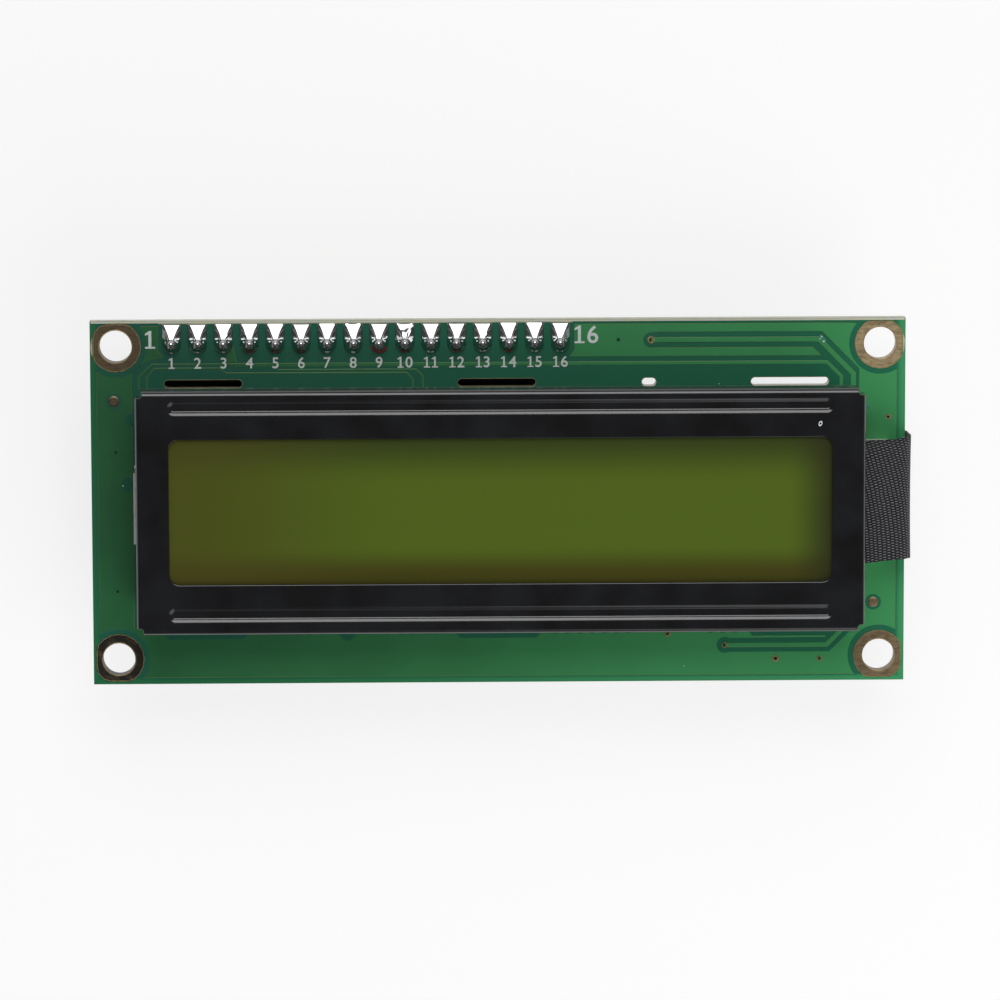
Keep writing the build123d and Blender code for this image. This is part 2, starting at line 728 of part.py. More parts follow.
def angle_housing(ys, side):
    """The moulded body of a right-angle header, cut through for its pins."""
    near = header_hole_x(side) + side * angle_pin_stub
    far = near + side * angle_housing_depth
    span = (ys[0] - pin_pitch / 2, ys[-1] + pin_pitch / 2)
    housing = block(sorted((near, far)), span, (adapter_rear - angle_housing_depth, adapter_rear))
    for y in ys:
        housing -= angle_pin(y, side)
    return housing


save("serial_header_housing", angle_housing(serial_ys, -1))
save("serial_header_pins", *[angle_pin(y, -1) for y in serial_ys])
save("jumper_housing", angle_housing(jumper_ys, 1))
save("jumper_pins", *[angle_pin(y, 1) for y in jumper_ys])


# Pull-off jumper cap with two square bores and a grip waist
def jumper_cap():
    """The cap, seated against its header."""
    low_x = header_hole_x(1) + angle_pin_stub + angle_housing_depth + angle_header_edge_gap
    bore = angle_pin_free - angle_header_edge_gap + cap_end_clearance
    high_x = low_x + bore + cap_wall
    low_y = jumper_ys[0] - pin_side / 2 - cap_wall
    high_y = jumper_ys[-1] + pin_side / 2 + cap_wall
    low_z = header_axis_z - cap_thickness / 2
    high_z = header_axis_z + cap_thickness / 2
    cap = block((low_x, high_x), (low_y, high_y), (low_z, high_z))
    grip = (low_x + cap_grip_margin, low_x + bore - cap_grip_margin)
    cap -= block(grip, (low_y, high_y), (low_z, low_z + cap_grip_depth))
    cap -= block(grip, (low_y, high_y), (high_z - cap_grip_depth, high_z))
    half = pin_side / 2 + cap_pin_clearance
    for y in jumper_ys:
        cap -= block((low_x, low_x + bore), (y - half, y + half),
                     (header_axis_z - half, header_axis_z + half))
    return cap


save("jumper_cap", jumper_cap())


# Transistor that switches the backlight
def transistor():
    """A three-lead transistor, body and leads as one small part."""
    middle_x = adapter_right - transistor_inset
    middle_y = adapter_lower + transistor_rise
    body_z = adapter_rear - transistor_lead_height
    body = Pos(middle_x, middle_y, body_z) * Rectangle(transistor_length, transistor_width)
    part = extrude(body, transistor_height, dir=(0, 0, -1), taper=expander_draft)
    near = transistor_width / 2
    for lead_x, side in [(x, 1) for x in spread(2, transistor_lead_pitch)] + [(0, -1)]:
        y_range = sorted((side * (near - lead_thickness), side * (near + transistor_lead_reach)))
        x_range = (lead_x - transistor_lead_width / 2, lead_x + transistor_lead_width / 2)
        part += Pos(middle_x, middle_y) * block(x_range, y_range, (body_z - transistor_lead_height, adapter_rear))
    return part


save("backlight_transistor", transistor())
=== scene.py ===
"""Dressed model of a two-line character display module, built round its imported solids.

Every class works in millimetres, in the frame of the solids: the origin is the centre of the four
mounting holes on the display board's front face, X runs along the board, Y towards the pin row and Z
out of the display.
"""
import logging
import math
import random
from dataclasses import dataclass
from enum import Enum
from typing import Iterable, Sequence

import bmesh
import bpy
from mathutils import Matrix, Vector


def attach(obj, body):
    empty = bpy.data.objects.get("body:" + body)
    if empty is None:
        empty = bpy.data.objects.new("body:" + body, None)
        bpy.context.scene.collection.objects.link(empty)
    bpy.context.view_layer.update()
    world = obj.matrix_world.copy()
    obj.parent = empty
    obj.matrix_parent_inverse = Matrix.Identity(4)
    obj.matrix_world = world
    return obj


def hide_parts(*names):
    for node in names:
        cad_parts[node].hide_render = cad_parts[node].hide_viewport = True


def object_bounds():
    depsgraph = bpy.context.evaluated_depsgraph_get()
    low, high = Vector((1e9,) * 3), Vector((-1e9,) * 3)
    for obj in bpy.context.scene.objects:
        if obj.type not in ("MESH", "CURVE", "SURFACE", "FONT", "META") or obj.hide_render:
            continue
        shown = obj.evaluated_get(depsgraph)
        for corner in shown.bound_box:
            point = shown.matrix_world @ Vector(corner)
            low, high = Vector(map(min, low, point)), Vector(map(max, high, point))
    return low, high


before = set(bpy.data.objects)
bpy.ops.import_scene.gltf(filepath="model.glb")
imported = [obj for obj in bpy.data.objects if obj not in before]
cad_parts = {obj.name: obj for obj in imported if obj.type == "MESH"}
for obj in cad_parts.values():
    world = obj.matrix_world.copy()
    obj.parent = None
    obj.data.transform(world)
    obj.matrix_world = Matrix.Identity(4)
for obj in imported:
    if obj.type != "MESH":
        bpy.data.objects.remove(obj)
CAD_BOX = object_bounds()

LOG = logging.getLogger("display_module")
MM = 0.001
MAIN_BODY = "module"
CRISP = 10.0  # thin plates keep edges sharper than this many degrees sharp
SAME = 1e-6  # points closer than this are one
WELD = 1e-4  # corners of a plate closer than this are welded
LEVEL = 0.99  # a face whose normal stands up more than this is level

Point = tuple[float, float]
Section = Sequence[tuple[float, float]]


class Hue(Enum):
    """Colours of the object's surfaces, as sRGB hex values."""

    # MASK_BARE and MASK_COPPER are the mask's colours at the board's left end and the _LIT ones at its right
    # end; the ramp between them is painted light
    MASK_BARE = "#195a46"
    MASK_BARE_LIT = "#17694a"
    MASK_COPPER = "#245f38"
    MASK_COPPER_LIT = "#3b9256"
    MASK_SLOPE = "#6c7f3c"
    LAMINATE = "#c9c6a8"
    LAMINATE_DARK = "#8f8f6c"
    LAMINATE_PALE = "#c3c7be"
    SLOT_RIM = "#6a6040"
    TEAL = "#2d8468"
    # MASK_EDGE and MASK_EDGE_LIT colour a strip of painted light along the board's edges, darker at its left
    # end and lighter at its right
    MASK_EDGE = "#1d6b41"
    MASK_EDGE_LIT = "#3a965f"
    COPPER_LIGHT = "#b39e78"
    COPPER_TAN = "#8d7a5c"
    COPPER_BROWN = "#63553f"
    COPPER_BLACK = "#2b2823"
    GOLD_RIM = "#c2a56c"
    VIA_HOLE_SHADE = "#0c1411"
    INK_WHITE = "#d4dad6"
    ENAMEL = "#0c0c0e"
    ENAMEL_DUST = "#1a1b1e"
    STEEL_RAW = "#77787a"
    FILM_MIDDLE = "#52661a"
    FILM_TOP_SHADOW = "#374217"
    FILM_BOTTOM = "#434211"
    FILM_LEFT = "#4b4a18"
    FILM_RIGHT = "#313317"
    GLASS_EDGE = "#3c5a44"
    RUBBER = "#1a181a"
    RUBBER_STRIPE = "#4a4648"
    MOULDED_WHITE = "#dcdcd2"
    ACRYLIC = "#cfd8bc"
    MILKY = "#dfe2cf"
    LAMP_YELLOW = "#c8c46a"
    CLOTH_BLACK = "#0f0f12"
    CLOTH_HIGHLIGHT = "#a4a4aa"
    CLOTH_GAP = "#050506"
    TIN = "#b9b8b4"
    SOLDER = "#c9cacb"
    SOLDER_GREY = "#8f8f90"
    FLUX_PINK = "#b04a4e"
    FLUX_AMBER = "#6b5044"
    FLUX_BROWN = "#4a3228"
    NYLON = "#17171a"
    EPOXY = "#131315"
    EPOXY_GREY = "#26262a"
    CERAMIC_BLACK = "#1c1c20"
    CERAMIC_TAN = "#8c7450"
    STATUS_LAMP = "#d8cdb0"
    BLUE = "#1d4fb4"
    ROTOR_WHITE = "#e2e0d8"
    ADAPTER_MASK = "#101114"
    # The black mask's colour at the board's right end, where the painted light makes it lighter
    ADAPTER_MASK_LIT = "#1d1f24"
    FLOOR = "#e9e9e8"


def linear(hue: Hue) -> tuple[float, float, float, float]:
    """Turns an sRGB hex colour to linear values.

    Args:
        hue: The named colour.

    Returns:
        Red, green, blue and alpha, linear.
    """
    parts = [int(hue.value[i:i + 2], 16) / 255 for i in (1, 3, 5)]
    red, green, blue = [p / 12.92 if p <= 0.04045 else ((p + 0.055) / 1.055) ** 2.4 for p in parts]
    return red, green, blue, 1.0


def add_node(tree: bpy.types.NodeTree, kind: str, settings: dict | None = None,
             links: dict | None = None) -> bpy.types.Node:
    """Adds one node with its settings and links.

    Args:
        tree: The node tree.
        kind: The node's type name.
        settings: Properties by name, and socket values by name or number.
        links: Output sockets by the name or number of the input they feed.

    Returns:
        The new node.
    """
    node = tree.nodes.new(kind)
    for key, value in (settings or {}).items():
        value = linear(value) if isinstance(value, Hue) else value
        if isinstance(key, str) and hasattr(node, key):
            setattr(node, key, value)
        else:
            node.inputs[key].default_value = value
    for key, source in (links or {}).items():
        tree.links.new(source, node.inputs[key])
    return node


class Painter:
    """The nodes of one material, with the few patterns that its finish is drawn from."""

    def __init__(self, title: str) -> None:
        """Starts a material with a shader and an output.

        Args:
            title: The material's name.
        """
        self.material = bpy.data.materials.new(title)
        self.material.use_nodes = True
        self.tree = self.material.node_tree
        self.tree.nodes.clear()
        self.shader = self.add("ShaderNodeBsdfPrincipled")
        self.add("ShaderNodeOutputMaterial", {}, {"Surface": self.shader.outputs["BSDF"]})
        self.place = self.add("ShaderNodeTexCoord").outputs["Object"]

    def add(self, kind: str, settings: dict | None = None, links: dict | None = None) -> bpy.types.Node:
        """Adds a node to this material, as add_node does."""
        return add_node(self.tree, kind, settings, links)

    def dress(self, settings: dict, links: dict | None = None) -> None:
        """Sets and links the shader's sockets.

        Args:
            settings: Values by socket name.
            links: Outputs by socket name.
        """
        for key, value in settings.items():
            self.shader.inputs[key].default_value = linear(value) if isinstance(value, Hue) else value
        for key, source in (links or {}).items():
            self.tree.links.new(source, self.shader.inputs[key])

    def blotches(self, size: float, low: float = 0.35, high: float = 0.65, detail: float = 3.0,
                 stretch: tuple[float, float, float] = (1, 1, 1)) -> bpy.types.NodeSocket:
        """Soft irregular patches.

        Args:
            size: The patches' size in millimetres.
            low: Noise value that gives 0.
            high: Noise value that gives 1.
            detail: How many finer layers the noise has.
            stretch: How much longer the patches are along each axis.

        Returns:
            A socket from 0 to 1.
        """
        room = self.add("ShaderNodeMapping", {"Scale": [1 / s for s in stretch]}, {"Vector": self.place})
        noise = self.add("ShaderNodeTexNoise", {"Scale": 1 / (size * MM), "Detail": detail},
                         {"Vector": room.outputs["Vector"]})
        return self.spread(noise.outputs["Fac"], low, high)

    def spread(self, value: bpy.types.NodeSocket, low: float, high: float) -> bpy.types.NodeSocket:
        """Spreads part of a number's range over 0 to 1.

        Args:
            value: The number.
            low: What becomes 0.
            high: What becomes 1.

        Returns:
            A socket from 0 to 1.
        """
        limits = {"From Min": low, "From Max": high, "clamp": True}
        return self.add("ShaderNodeMapRange", limits, {"Value": value}).outputs["Result"]

    def waves(self, place: bpy.types.NodeSocket, half: float) -> bpy.types.NodeSocket:
        """A sine along a coordinate.

        Args:
            place: The coordinate.
            half: Half a wave's length.

        Returns:
            A socket from -1 to 1.
        """
        return self.combine("SINE", self.combine("MULTIPLY", place, math.pi / half))

    def along(self, axis: str, start: float, end: float) -> bpy.types.NodeSocket:
        """A smooth rise along one axis of the object.

        Args:
            axis: "X", "Y" or "Z".
            start: Where the rise is 0, in millimetres.
            end: Where it is 1.

        Returns:
            A socket from 0 to 1.
        """
        split = self.add("ShaderNodeSeparateXYZ", {}, {"Vector": self.place})
        rise = {"From Min": min(start, end) * MM, "From Max": max(start, end) * MM,
                "To Min": 0.0 if end > start else 1.0, "To Max": 1.0 if end > start else 0.0,
                "interpolation_type": "SMOOTHSTEP", "clamp": True}
        return self.add("ShaderNodeMapRange", rise, {"Value": split.outputs[axis]}).outputs["Result"]

    def blend(self, factor: bpy.types.NodeSocket, first: Hue | bpy.types.NodeSocket,
              second: Hue | bpy.types.NodeSocket) -> bpy.types.NodeSocket:
        """Mixes two colours.

        Args:
            factor: 0 for the first, 1 for the second.
            first: A colour or socket.
            second: A colour or socket.

        Returns:
            The mixed colour's socket.
        """
        settings, links = {"data_type": "RGBA"}, {0: factor}
        for socket, colour in ((6, first), (7, second)):
            (settings if isinstance(colour, Hue) else links)[socket] = colour
        return self.add("ShaderNodeMix", settings, links).outputs[2]

    def combine(self, operation: str, *numbers: bpy.types.NodeSocket | float) -> bpy.types.NodeSocket:
        """Works out one number from up to three.

        Args:
            operation: The operation's name.
            numbers: Its numbers or sockets.

        Returns:
            The result's socket.
        """
        settings, links = {"operation": operation}, {}
        for socket, number in enumerate(numbers):
            (links if isinstance(number, bpy.types.NodeSocket) else settings)[socket] = number
        return self.add("ShaderNodeMath", settings, links).outputs["Value"]

    def facing(self, low: float, high: float) -> bpy.types.NodeSocket:
        """How far a surface lies flat, facing the display's front or back.

        Args:
            low: Upright share of the normal that gives 0.
            high: Upright share that gives 1.

        Returns:
            A socket from 0 to 1.
        """
        shape = self.add("ShaderNodeNewGeometry")
        split = self.add("ShaderNodeSeparateXYZ", {}, {"Vector": shape.outputs["Normal"]})
        return self.spread(self.combine("ABSOLUTE", split.outputs["Z"]), low, high)

    def relief(self, height: bpy.types.NodeSocket, depth: float, strength: float = 1.0) -> None:
        """Raises the surface by a pattern.

        Args:
            height: The pattern.
            depth: Its height in millimetres.
            strength: The bump's strength.
        """
        bump = self.add("ShaderNodeBump", {"Strength": strength, "Distance": depth * MM}, {"Height": height})
        self.dress({}, {"Normal": bump.outputs["Normal"]})


class Finish:
    """A finish named for its real material. Each is made once and shared by the pieces that have it."""

    title = "plain"

    def material(self) -> bpy.types.Material:
        """The finish's material, made when first asked for."""
        if self.title not in bpy.data.materials:
            painter = Painter(self.title)
            self.paint(painter)
            return painter.material
        return bpy.data.materials[self.title]

    def paint(self, painter: Painter) -> None:
        """Draws the finish.

        Args:
            painter: The material's nodes.
        """
        raise NotImplementedError


@dataclass(frozen=True)
class SolderMask(Finish):
    """Epoxy solder mask, screened in liquid form and cured: smooth, deep in colour, with a soft gloss."""

    title: str = "screened_solder_mask_green"
    face: Hue = Hue.MASK_BARE
    face_painted_lit: Hue = Hue.MASK_BARE_LIT
    side: Hue = Hue.LAMINATE
    side_deep: Hue = Hue.LAMINATE_DARK
    side_limit: float = 0.5
    gloss: float = 0.32
    # Whether the strip of painted light along the board's edges is drawn
    painted_edge_light: bool = True
    cloud: float = 0.12
    # Where the painted light ramps along X, in millimetres, from the face colour to the lit one
    painted_light_run: Point = (-42, 42)
    # Where the strip of painted edge light rises at the right, left and lower edges, and the X run over which
    # it turns from MASK_EDGE to MASK_EDGE_LIT
    rim_right: Point = (39.0, 39.7)
    rim_left: Point = (-39.2, -39.8)
    rim_lower: Point = (-17.3, -17.7)
    rim_run: Point = (-40, 40)
    side_blur: float = 0.05

    def paint(self, painter: Painter) -> None:
        """Mask on the faces, with a little random clouding and painted light that makes it lighter to the
        right and along the board's edges, and cut glass-epoxy laminate on the sides.
        """
        # Painted light: the face turns lighter towards the board's right end, with a little random clouding
        # on top
        painted_light = painter.along("X", *self.painted_light_run)
        cloud = painter.combine("MULTIPLY_ADD", painter.blotches(7.0), self.cloud, painted_light)
        face = painter.blend(cloud, self.face, self.face_painted_lit)
        # Painted light: a lighter strip along the board's right, left and lower edges, lightest at the right
        # end
        if self.painted_edge_light:
            right, left = painter.along("X", *self.rim_right), painter.along("X", *self.rim_left)
            rim = painter.combine("MAXIMUM", right, left)
            rim = painter.combine("MAXIMUM", rim, painter.along("Y", *self.rim_lower))
            glow = painter.blend(painter.along("X", *self.rim_run), Hue.MASK_EDGE, Hue.MASK_EDGE_LIT)
            face = painter.blend(rim, face, glow)
        fibres = painter.blotches(0.25, 0.3, 0.7, 2.0, (8, 8, 1))
        side = painter.blend(fibres, self.side, self.side_deep)
        flat = painter.facing(self.side_limit - self.side_blur, self.side_limit + self.side_blur)
        painter.dress({"Roughness": self.gloss, "Specular IOR Level": 0.42},
                      {"Base Color": painter.blend(flat, side, face)})
        painter.relief(painter.blotches(0.5, 0.3, 0.7), 0.004, 0.35)


@dataclass(frozen=True)
class TarnishedCopper(Finish):
    """Plated copper left bare and tarnished: brown and dull at the left end, tan and brushed at the right."""

    title: str = "tarnished_plated_copper"
    upper: Point = (-6, 6)
    right: Point = (-20, 20)
    scoured: Point = (20, 30)
    rough: float = 0.36
    brush_rough: float = 0.18

    def paint(self, painter: Painter) -> None:
        """Colour follows the end of the board, as each corner has tarnished differently."""
        upper = painter.along("Y", *self.upper)
        brown = painter.blend(upper, Hue.COPPER_BLACK, Hue.COPPER_BROWN)
        base = painter.blend(painter.along("X", *self.right), brown, Hue.COPPER_TAN)
        cleaner = painter.combine("MULTIPLY", painter.along("X", *self.scoured), upper)
        base = painter.blend(cleaner, base, Hue.COPPER_LIGHT)
        scrubbed = painter.blotches(0.2, 0.45, 0.62, 2.0, (4, 1, 1))
        base = painter.blend(painter.combine("MULTIPLY", scrubbed, 0.35), base, Hue.COPPER_BLACK)
        stained = painter.blend(painter.combine("MULTIPLY", painter.blotches(0.9, 0.52, 0.72), 0.6),
                                base, Hue.COPPER_BROWN)
        brushed = painter.blotches(0.12, 0.3, 0.7, 3.0, (5, 1, 1))
        rough = painter.combine("MULTIPLY_ADD", brushed, self.brush_rough, self.rough)
        painter.dress({"Metallic": 0.6}, {"Base Color": stained, "Roughness": rough})
        painter.relief(brushed, 0.004, 0.5)


@dataclass(frozen=True)
class GoldRim(Finish):
    """Flash-gilded copper ring round a via: a thin warm metal line."""

    title: str = "flash_gilded_copper"

    def paint(self, painter: Painter) -> None:
        """Warm metal with slight staining."""
        colour = painter.blend(painter.blotches(0.3), Hue.GOLD_RIM, Hue.COPPER_TAN)
        painter.dress({"Metallic": 0.7, "Roughness": 0.4}, {"Base Color": colour})


@dataclass(frozen=True)
class DarkBore(Finish):
    """Painted shade standing in for the unlit inside of a plated via."""

    title: str = "unlit_via_bore"

    def paint(self, painter: Painter) -> None:
        """Painted shade: nearly black, with a trace of the mask's green."""
        colour = painter.blend(painter.blotches(0.2, 0.5, 0.8), Hue.VIA_HOLE_SHADE, Hue.MASK_BARE_LIT)
        painter.dress({"Roughness": 0.6, "Specular IOR Level": 0.2}, {"Base Color": colour})


@dataclass(frozen=True)
class BlackEnamel(Finish):
    """Black stoving enamel on folded steel: high gloss, faint orange peel, worn to grey at cut edges."""

    title: str = "stoved_black_enamel"
    raw_low: float = 4.62
    raw_high: float = 4.9

    def paint(self, painter: Painter) -> None:
        """Gloss black, a little dust, and raw steel along the walls' lower edges."""
        dust = painter.blend(painter.blotches(5.0), Hue.ENAMEL, Hue.ENAMEL_DUST)
        worn = painter.combine("MULTIPLY", painter.along("Z", self.raw_high, self.raw_low),
                               painter.blotches(0.6, 0.25, 0.55, 3.0, (3, 3, 1)))
        painter.dress({"Roughness": 0.14, "IOR": 1.55, "Specular IOR Level": 0.75},
                      {"Base Color": painter.blend(worn, dust, Hue.STEEL_RAW)})
        peel = painter.blotches(0.9, 0.2, 0.8, 2.0, (1.6, 1, 1))
        painter.relief(peel, 0.006, 0.5)


@dataclass(frozen=True)
class PolarizerFilm(Finish):
    """Stretched polarizing film with an anti-glare face, over the yellow-green cell: satin and deep olive."""

    title: str = "stretched_polarizing_film"
    # Each shade's axis, where it starts and ends in millimetres, its strength and its colour; the first is
    # the frame's painted shadow at the window's upper edge
    shades: tuple[tuple[str, float, float, float, Hue], ...] = (
        ("Y", 2.5, 7.1, 1.0, Hue.FILM_TOP_SHADOW), ("Y", -3.4, -6.2, 1.0, Hue.FILM_BOTTOM),
        ("X", -8.15, -32.15, 0.75, Hue.FILM_LEFT), ("X", 27.85, 32.35, 0.9, Hue.FILM_RIGHT))

    def paint(self, painter: Painter) -> None:
        """Olive in the middle, with the frame's painted shadow near the window's upper edge, browner near its
        lower and left ones.
        """
        olive = Hue.FILM_MIDDLE
        for axis, start, end, strength, hue in self.shades:
            share = painter.combine("MULTIPLY", painter.along(axis, start, end), strength)
            olive = painter.blend(share, olive, hue)
        painter.dress({"Roughness": 0.42, "Specular IOR Level": 0.12}, {"Base Color": olive})
        painter.relief(painter.blotches(0.08, 0.3, 0.7), 0.002, 0.3)


@dataclass(frozen=True)
class FloatGlass(Finish):
    """Thin float glass of the cell: clear, green at its cut edges."""

    title: str = "float_glass"
    edge_rough: float = 0.36
    face_rough: float = 0.06

    def paint(self, painter: Painter) -> None:
        """Clear faces and green, ground edges."""
        flat = painter.facing(0.4, 0.6)
        colour = painter.blend(flat, Hue.GLASS_EDGE, Hue.FILM_MIDDLE)
        rough = painter.combine("MULTIPLY_ADD", flat, self.face_rough - self.edge_rough, self.edge_rough)
        painter.dress({"IOR": 1.52, "Transmission Weight": 0.3}, {"Base Color": colour, "Roughness": rough})


@dataclass(frozen=True)
class LayeredRubber(Finish):
    """Conductive silicone strip: dull black layers between softer grey ones, stacked along the strip."""

    title: str = "layered_conductive_silicone"
    layer: float = 0.36

    def paint(self, painter: Painter) -> None:
        """Fine stripes across the strip, drawn coarser than the real 0.1 mm layers so that they show."""
        wave = painter.add("ShaderNodeTexWave", {"wave_type": "BANDS", "bands_direction": "X",
                                                 "Scale": 1 / (self.layer * MM * 3), "Distortion": 0.3},
                           {"Vector": painter.place})
        colour = painter.blend(wave.outputs["Fac"], Hue.RUBBER, Hue.RUBBER_STRIPE)
        painter.dress({"Roughness": 0.7}, {"Base Color": colour})


@dataclass(frozen=True)
class MouldedPlastic(Finish):
    """Injection-moulded plastic: even in colour, with a fine spark-eroded grain."""

    title: str = "moulded_nylon_black"
    main: Hue = Hue.NYLON
    deep: Hue = Hue.EPOXY
    rough: float = 0.45
    grain: float = 0.12
    depth: float = 0.004

    def paint(self, painter: Painter) -> None:
        """Slight flow marks in the colour over the mould's grain."""
        colour = painter.blend(painter.blotches(2.5), self.main, self.deep)
        painter.dress({"Roughness": self.rough}, {"Base Color": colour})
        painter.relief(painter.blotches(self.grain, 0.3, 0.7), self.depth, 0.6)


@dataclass(frozen=True)
class ClearPlastic(Finish):
    """Clear or milky moulded plastic that lets light through."""

    title: str = "moulded_clear_acrylic"
    main: Hue = Hue.ACRYLIC
    clear: float = 0.6
    rough: float = 0.15

    def paint(self, painter: Painter) -> None:
        """Partly clear, with faint flow lines."""
        flow = painter.combine("MULTIPLY", painter.blotches(1.5), 0.4)
        colour = painter.blend(flow, self.main, Hue.MOULDED_WHITE)
        painter.dress({"Roughness": self.rough, "IOR": 1.49, "Transmission Weight": self.clear},
                      {"Base Color": colour})
        painter.relief(painter.blotches(0.4), 0.003, 0.2)


@dataclass(frozen=True)
class WovenTape(Finish):
    """Black acetate cloth tape, plain weave: round threads with a dull sheen and dark gaps between them."""

    title: str = "plain_woven_acetate_tape"
    warp: float = 0.41
    weft: float = 0.13
    curl: float = 0.014
    curl_from: float = 6.5
    sway: float = 0.22
    highlight_range: Point = (-0.25, 0.95)
    gap: Point = (0.05, 0.35)
    relief: float = 0.05

    def paint(self, painter: Painter) -> None:
        """Threads along both ways of the tape, over and under, from its own UV map in millimetres, with
        painted highlights speckled on the threads that pass over.
        """
        uv = painter.add("ShaderNodeTexCoord").outputs["UV"]
        sway = painter.add("ShaderNodeTexNoise", {"Scale": 0.6, "Detail": 1.0}, {"Vector": uv})
        shift = painter.add("ShaderNodeVectorMath", {"operation": "SCALE", "Scale": self.sway},
                            {0: sway.outputs["Color"]})
        bent = painter.add("ShaderNodeVectorMath", {"operation": "ADD"}, {0: uv, 1: shift.outputs["Vector"]})
        split = painter.add("ShaderNodeSeparateXYZ", {}, {"Vector": bent.outputs["Vector"]})
        curl = painter.combine("POWER", painter.combine("ADD", split.outputs["Y"], self.curl_from), 2.0)
        leaned = painter.combine("ADD", split.outputs["X"], painter.combine("MULTIPLY", curl, self.curl))
        across, down = painter.waves(leaned, self.warp), painter.waves(split.outputs["Y"], self.weft)
        over = painter.combine("MULTIPLY", across, down)
        crown = painter.combine("ABSOLUTE", over)
        fibre = painter.add("ShaderNodeTexNoise", {"Scale": 9.0, "Detail": 3.0}, {"Vector": uv})
        # Painted highlight: the threads' raised crowns are coloured bright, speckled by the fibre noise
        lit = painter.combine("MULTIPLY", painter.spread(over, *self.highlight_range), fibre.outputs["Fac"])
        thread = painter.blend(lit, Hue.CLOTH_BLACK, Hue.CLOTH_HIGHLIGHT)
        cloth = painter.blend(painter.spread(crown, *self.gap), Hue.CLOTH_GAP, thread)
        painter.dress({"Roughness": 0.6, "Sheen Weight": 0.05, "Sheen Roughness": 0.4,
                       "Specular IOR Level": 0.2}, {"Base Color": cloth})
        painter.relief(crown, self.relief, 0.9)


@dataclass(frozen=True)
class TinPlate(Finish):
    """Drawn brass pin with a bright tin plate, faintly brushed along its length."""

    title: str = "tin_plated_drawn_brass"

    def paint(self, painter: Painter) -> None:
        """Pale metal with fine drawing lines."""
        lines = painter.blotches(0.1, 0.3, 0.7, 2.0, (1, 1, 8))
        painter.dress({"Metallic": 1.0, "Roughness": 0.3},
                      {"Base Color": painter.blend(lines, Hue.TIN, Hue.SOLDER)})
        painter.relief(lines, 0.002, 0.3)


@dataclass(frozen=True)
class BrightSolder(Finish):
    """Tin solder frozen from the melt: mirror bright with slow ripples and a few dull spots."""

    title: str = "wave_soldered_tin"
    rough: float = 0.13
    dull_rough: float = 0.25

    def paint(self, painter: Painter) -> None:
        """Bright metal, rippled, with patches where it froze dull."""
        dull = painter.blotches(0.35, 0.64, 0.86)
        rough = painter.combine("MULTIPLY_ADD", dull, self.dull_rough, self.rough)
        colour = painter.blend(dull, Hue.SOLDER, Hue.SOLDER_GREY)
        painter.dress({"Metallic": 1.0}, {"Base Color": colour, "Roughness": rough})
        painter.relief(painter.blotches(0.5, 0.2, 0.8, 1.5), 0.012, 0.2)


@dataclass(frozen=True)
class FluxResidue(Finish):
    """Dried rosin flux: a thin amber to pink varnish beside a joint."""

    title: str = "dried_rosin_flux_pink"
    main: Hue = Hue.FLUX_PINK

    def paint(self, painter: Painter) -> None:
        """Glossy varnish of uneven strength."""
        thick = painter.combine("MULTIPLY", painter.blotches(0.3), 0.6)
        colour = painter.blend(thick, self.main, Hue.FLUX_BROWN)
        painter.dress({"Roughness": 0.2}, {"Base Color": colour})
        painter.relief(painter.blotches(0.2), 0.02, 0.5)


@dataclass(frozen=True)
class ScreenInk(Finish):
    """White epoxy ink, screened on the mask: matt, a little thin at its edges."""

    title: str = "screened_epoxy_ink"

    def paint(self, painter: Painter) -> None:
        """Off-white with faint thin spots."""
        thin = painter.combine("MULTIPLY", painter.blotches(0.18, 0.55, 0.8), 0.35)
        painter.dress({"Roughness": 0.6}, {"Base Color": painter.blend(thin, Hue.INK_WHITE, Hue.MASK_COPPER)})


@dataclass(frozen=True)
class ChipCeramic(Finish):
    """Fired ceramic body of a chip part: dull, with a fine grain."""

    title: str = "fired_ceramic_black"
    main: Hue = Hue.CERAMIC_BLACK

    def paint(self, painter: Painter) -> None:
        """Ceramic with a fine grain."""
        colour = painter.blend(painter.blotches(0.4), self.main, Hue.EPOXY_GREY)
        painter.dress({"Roughness": 0.4}, {"Base Color": colour})
        painter.relief(painter.blotches(0.1), 0.004, 0.4)


def make_object(name: str, bm: bmesh.types.BMesh, finishes: Iterable[Finish],
                body: str = MAIN_BODY, replaces: Sequence[str] = (), smooth: float = 35.0,
                recalc: bool = True) -> bpy.types.Object:
    """Turns a mesh built in millimetres into a finished piece that rides on a body.

    Args:
        name: The piece's name.
        bm: The mesh, freed here.
        finishes: Its finishes, in the order of the faces' material numbers.
        body: The body it rides on.
        replaces: CAD nodes that it stands for.
        smooth: Edges sharper than this many degrees stay sharp.
        recalc: Whether its normals are worked out anew.

    Returns:
        The new object.
    """
    if recalc:
        bmesh.ops.recalc_face_normals(bm, faces=bm.faces)
    bmesh.ops.scale(bm, vec=(MM, MM, MM), verts=bm.verts)
    mesh = bpy.data.meshes.new(name)
    bm.to_mesh(mesh)
    bm.free()
    mesh.shade_smooth()
    mesh.set_sharp_from_angle(angle=math.radians(smooth))
    piece = bpy.data.objects.new(name, mesh)
    bpy.context.scene.collection.objects.link(piece)
    for finish in finishes:
        mesh.materials.append(finish.material())
    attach(piece, body)
    if replaces:
        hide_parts(*replaces)
    LOG.info("%s: %d faces", name, len(mesh.polygons))
    return piece


def rectangle(start: Point, end: Point) -> list[Point]:
    """The four corners of a rectangle that is given by two opposite ones, the first one first."""
    return [start, (end[0], start[1]), end, (start[0], end[1])]


def edges_at(verts: Iterable[bmesh.types.BMVert]) -> list:
    """The edges at some vertices, each once."""
    return list(dict.fromkeys(edge for vert in verts for edge in vert.link_edges))


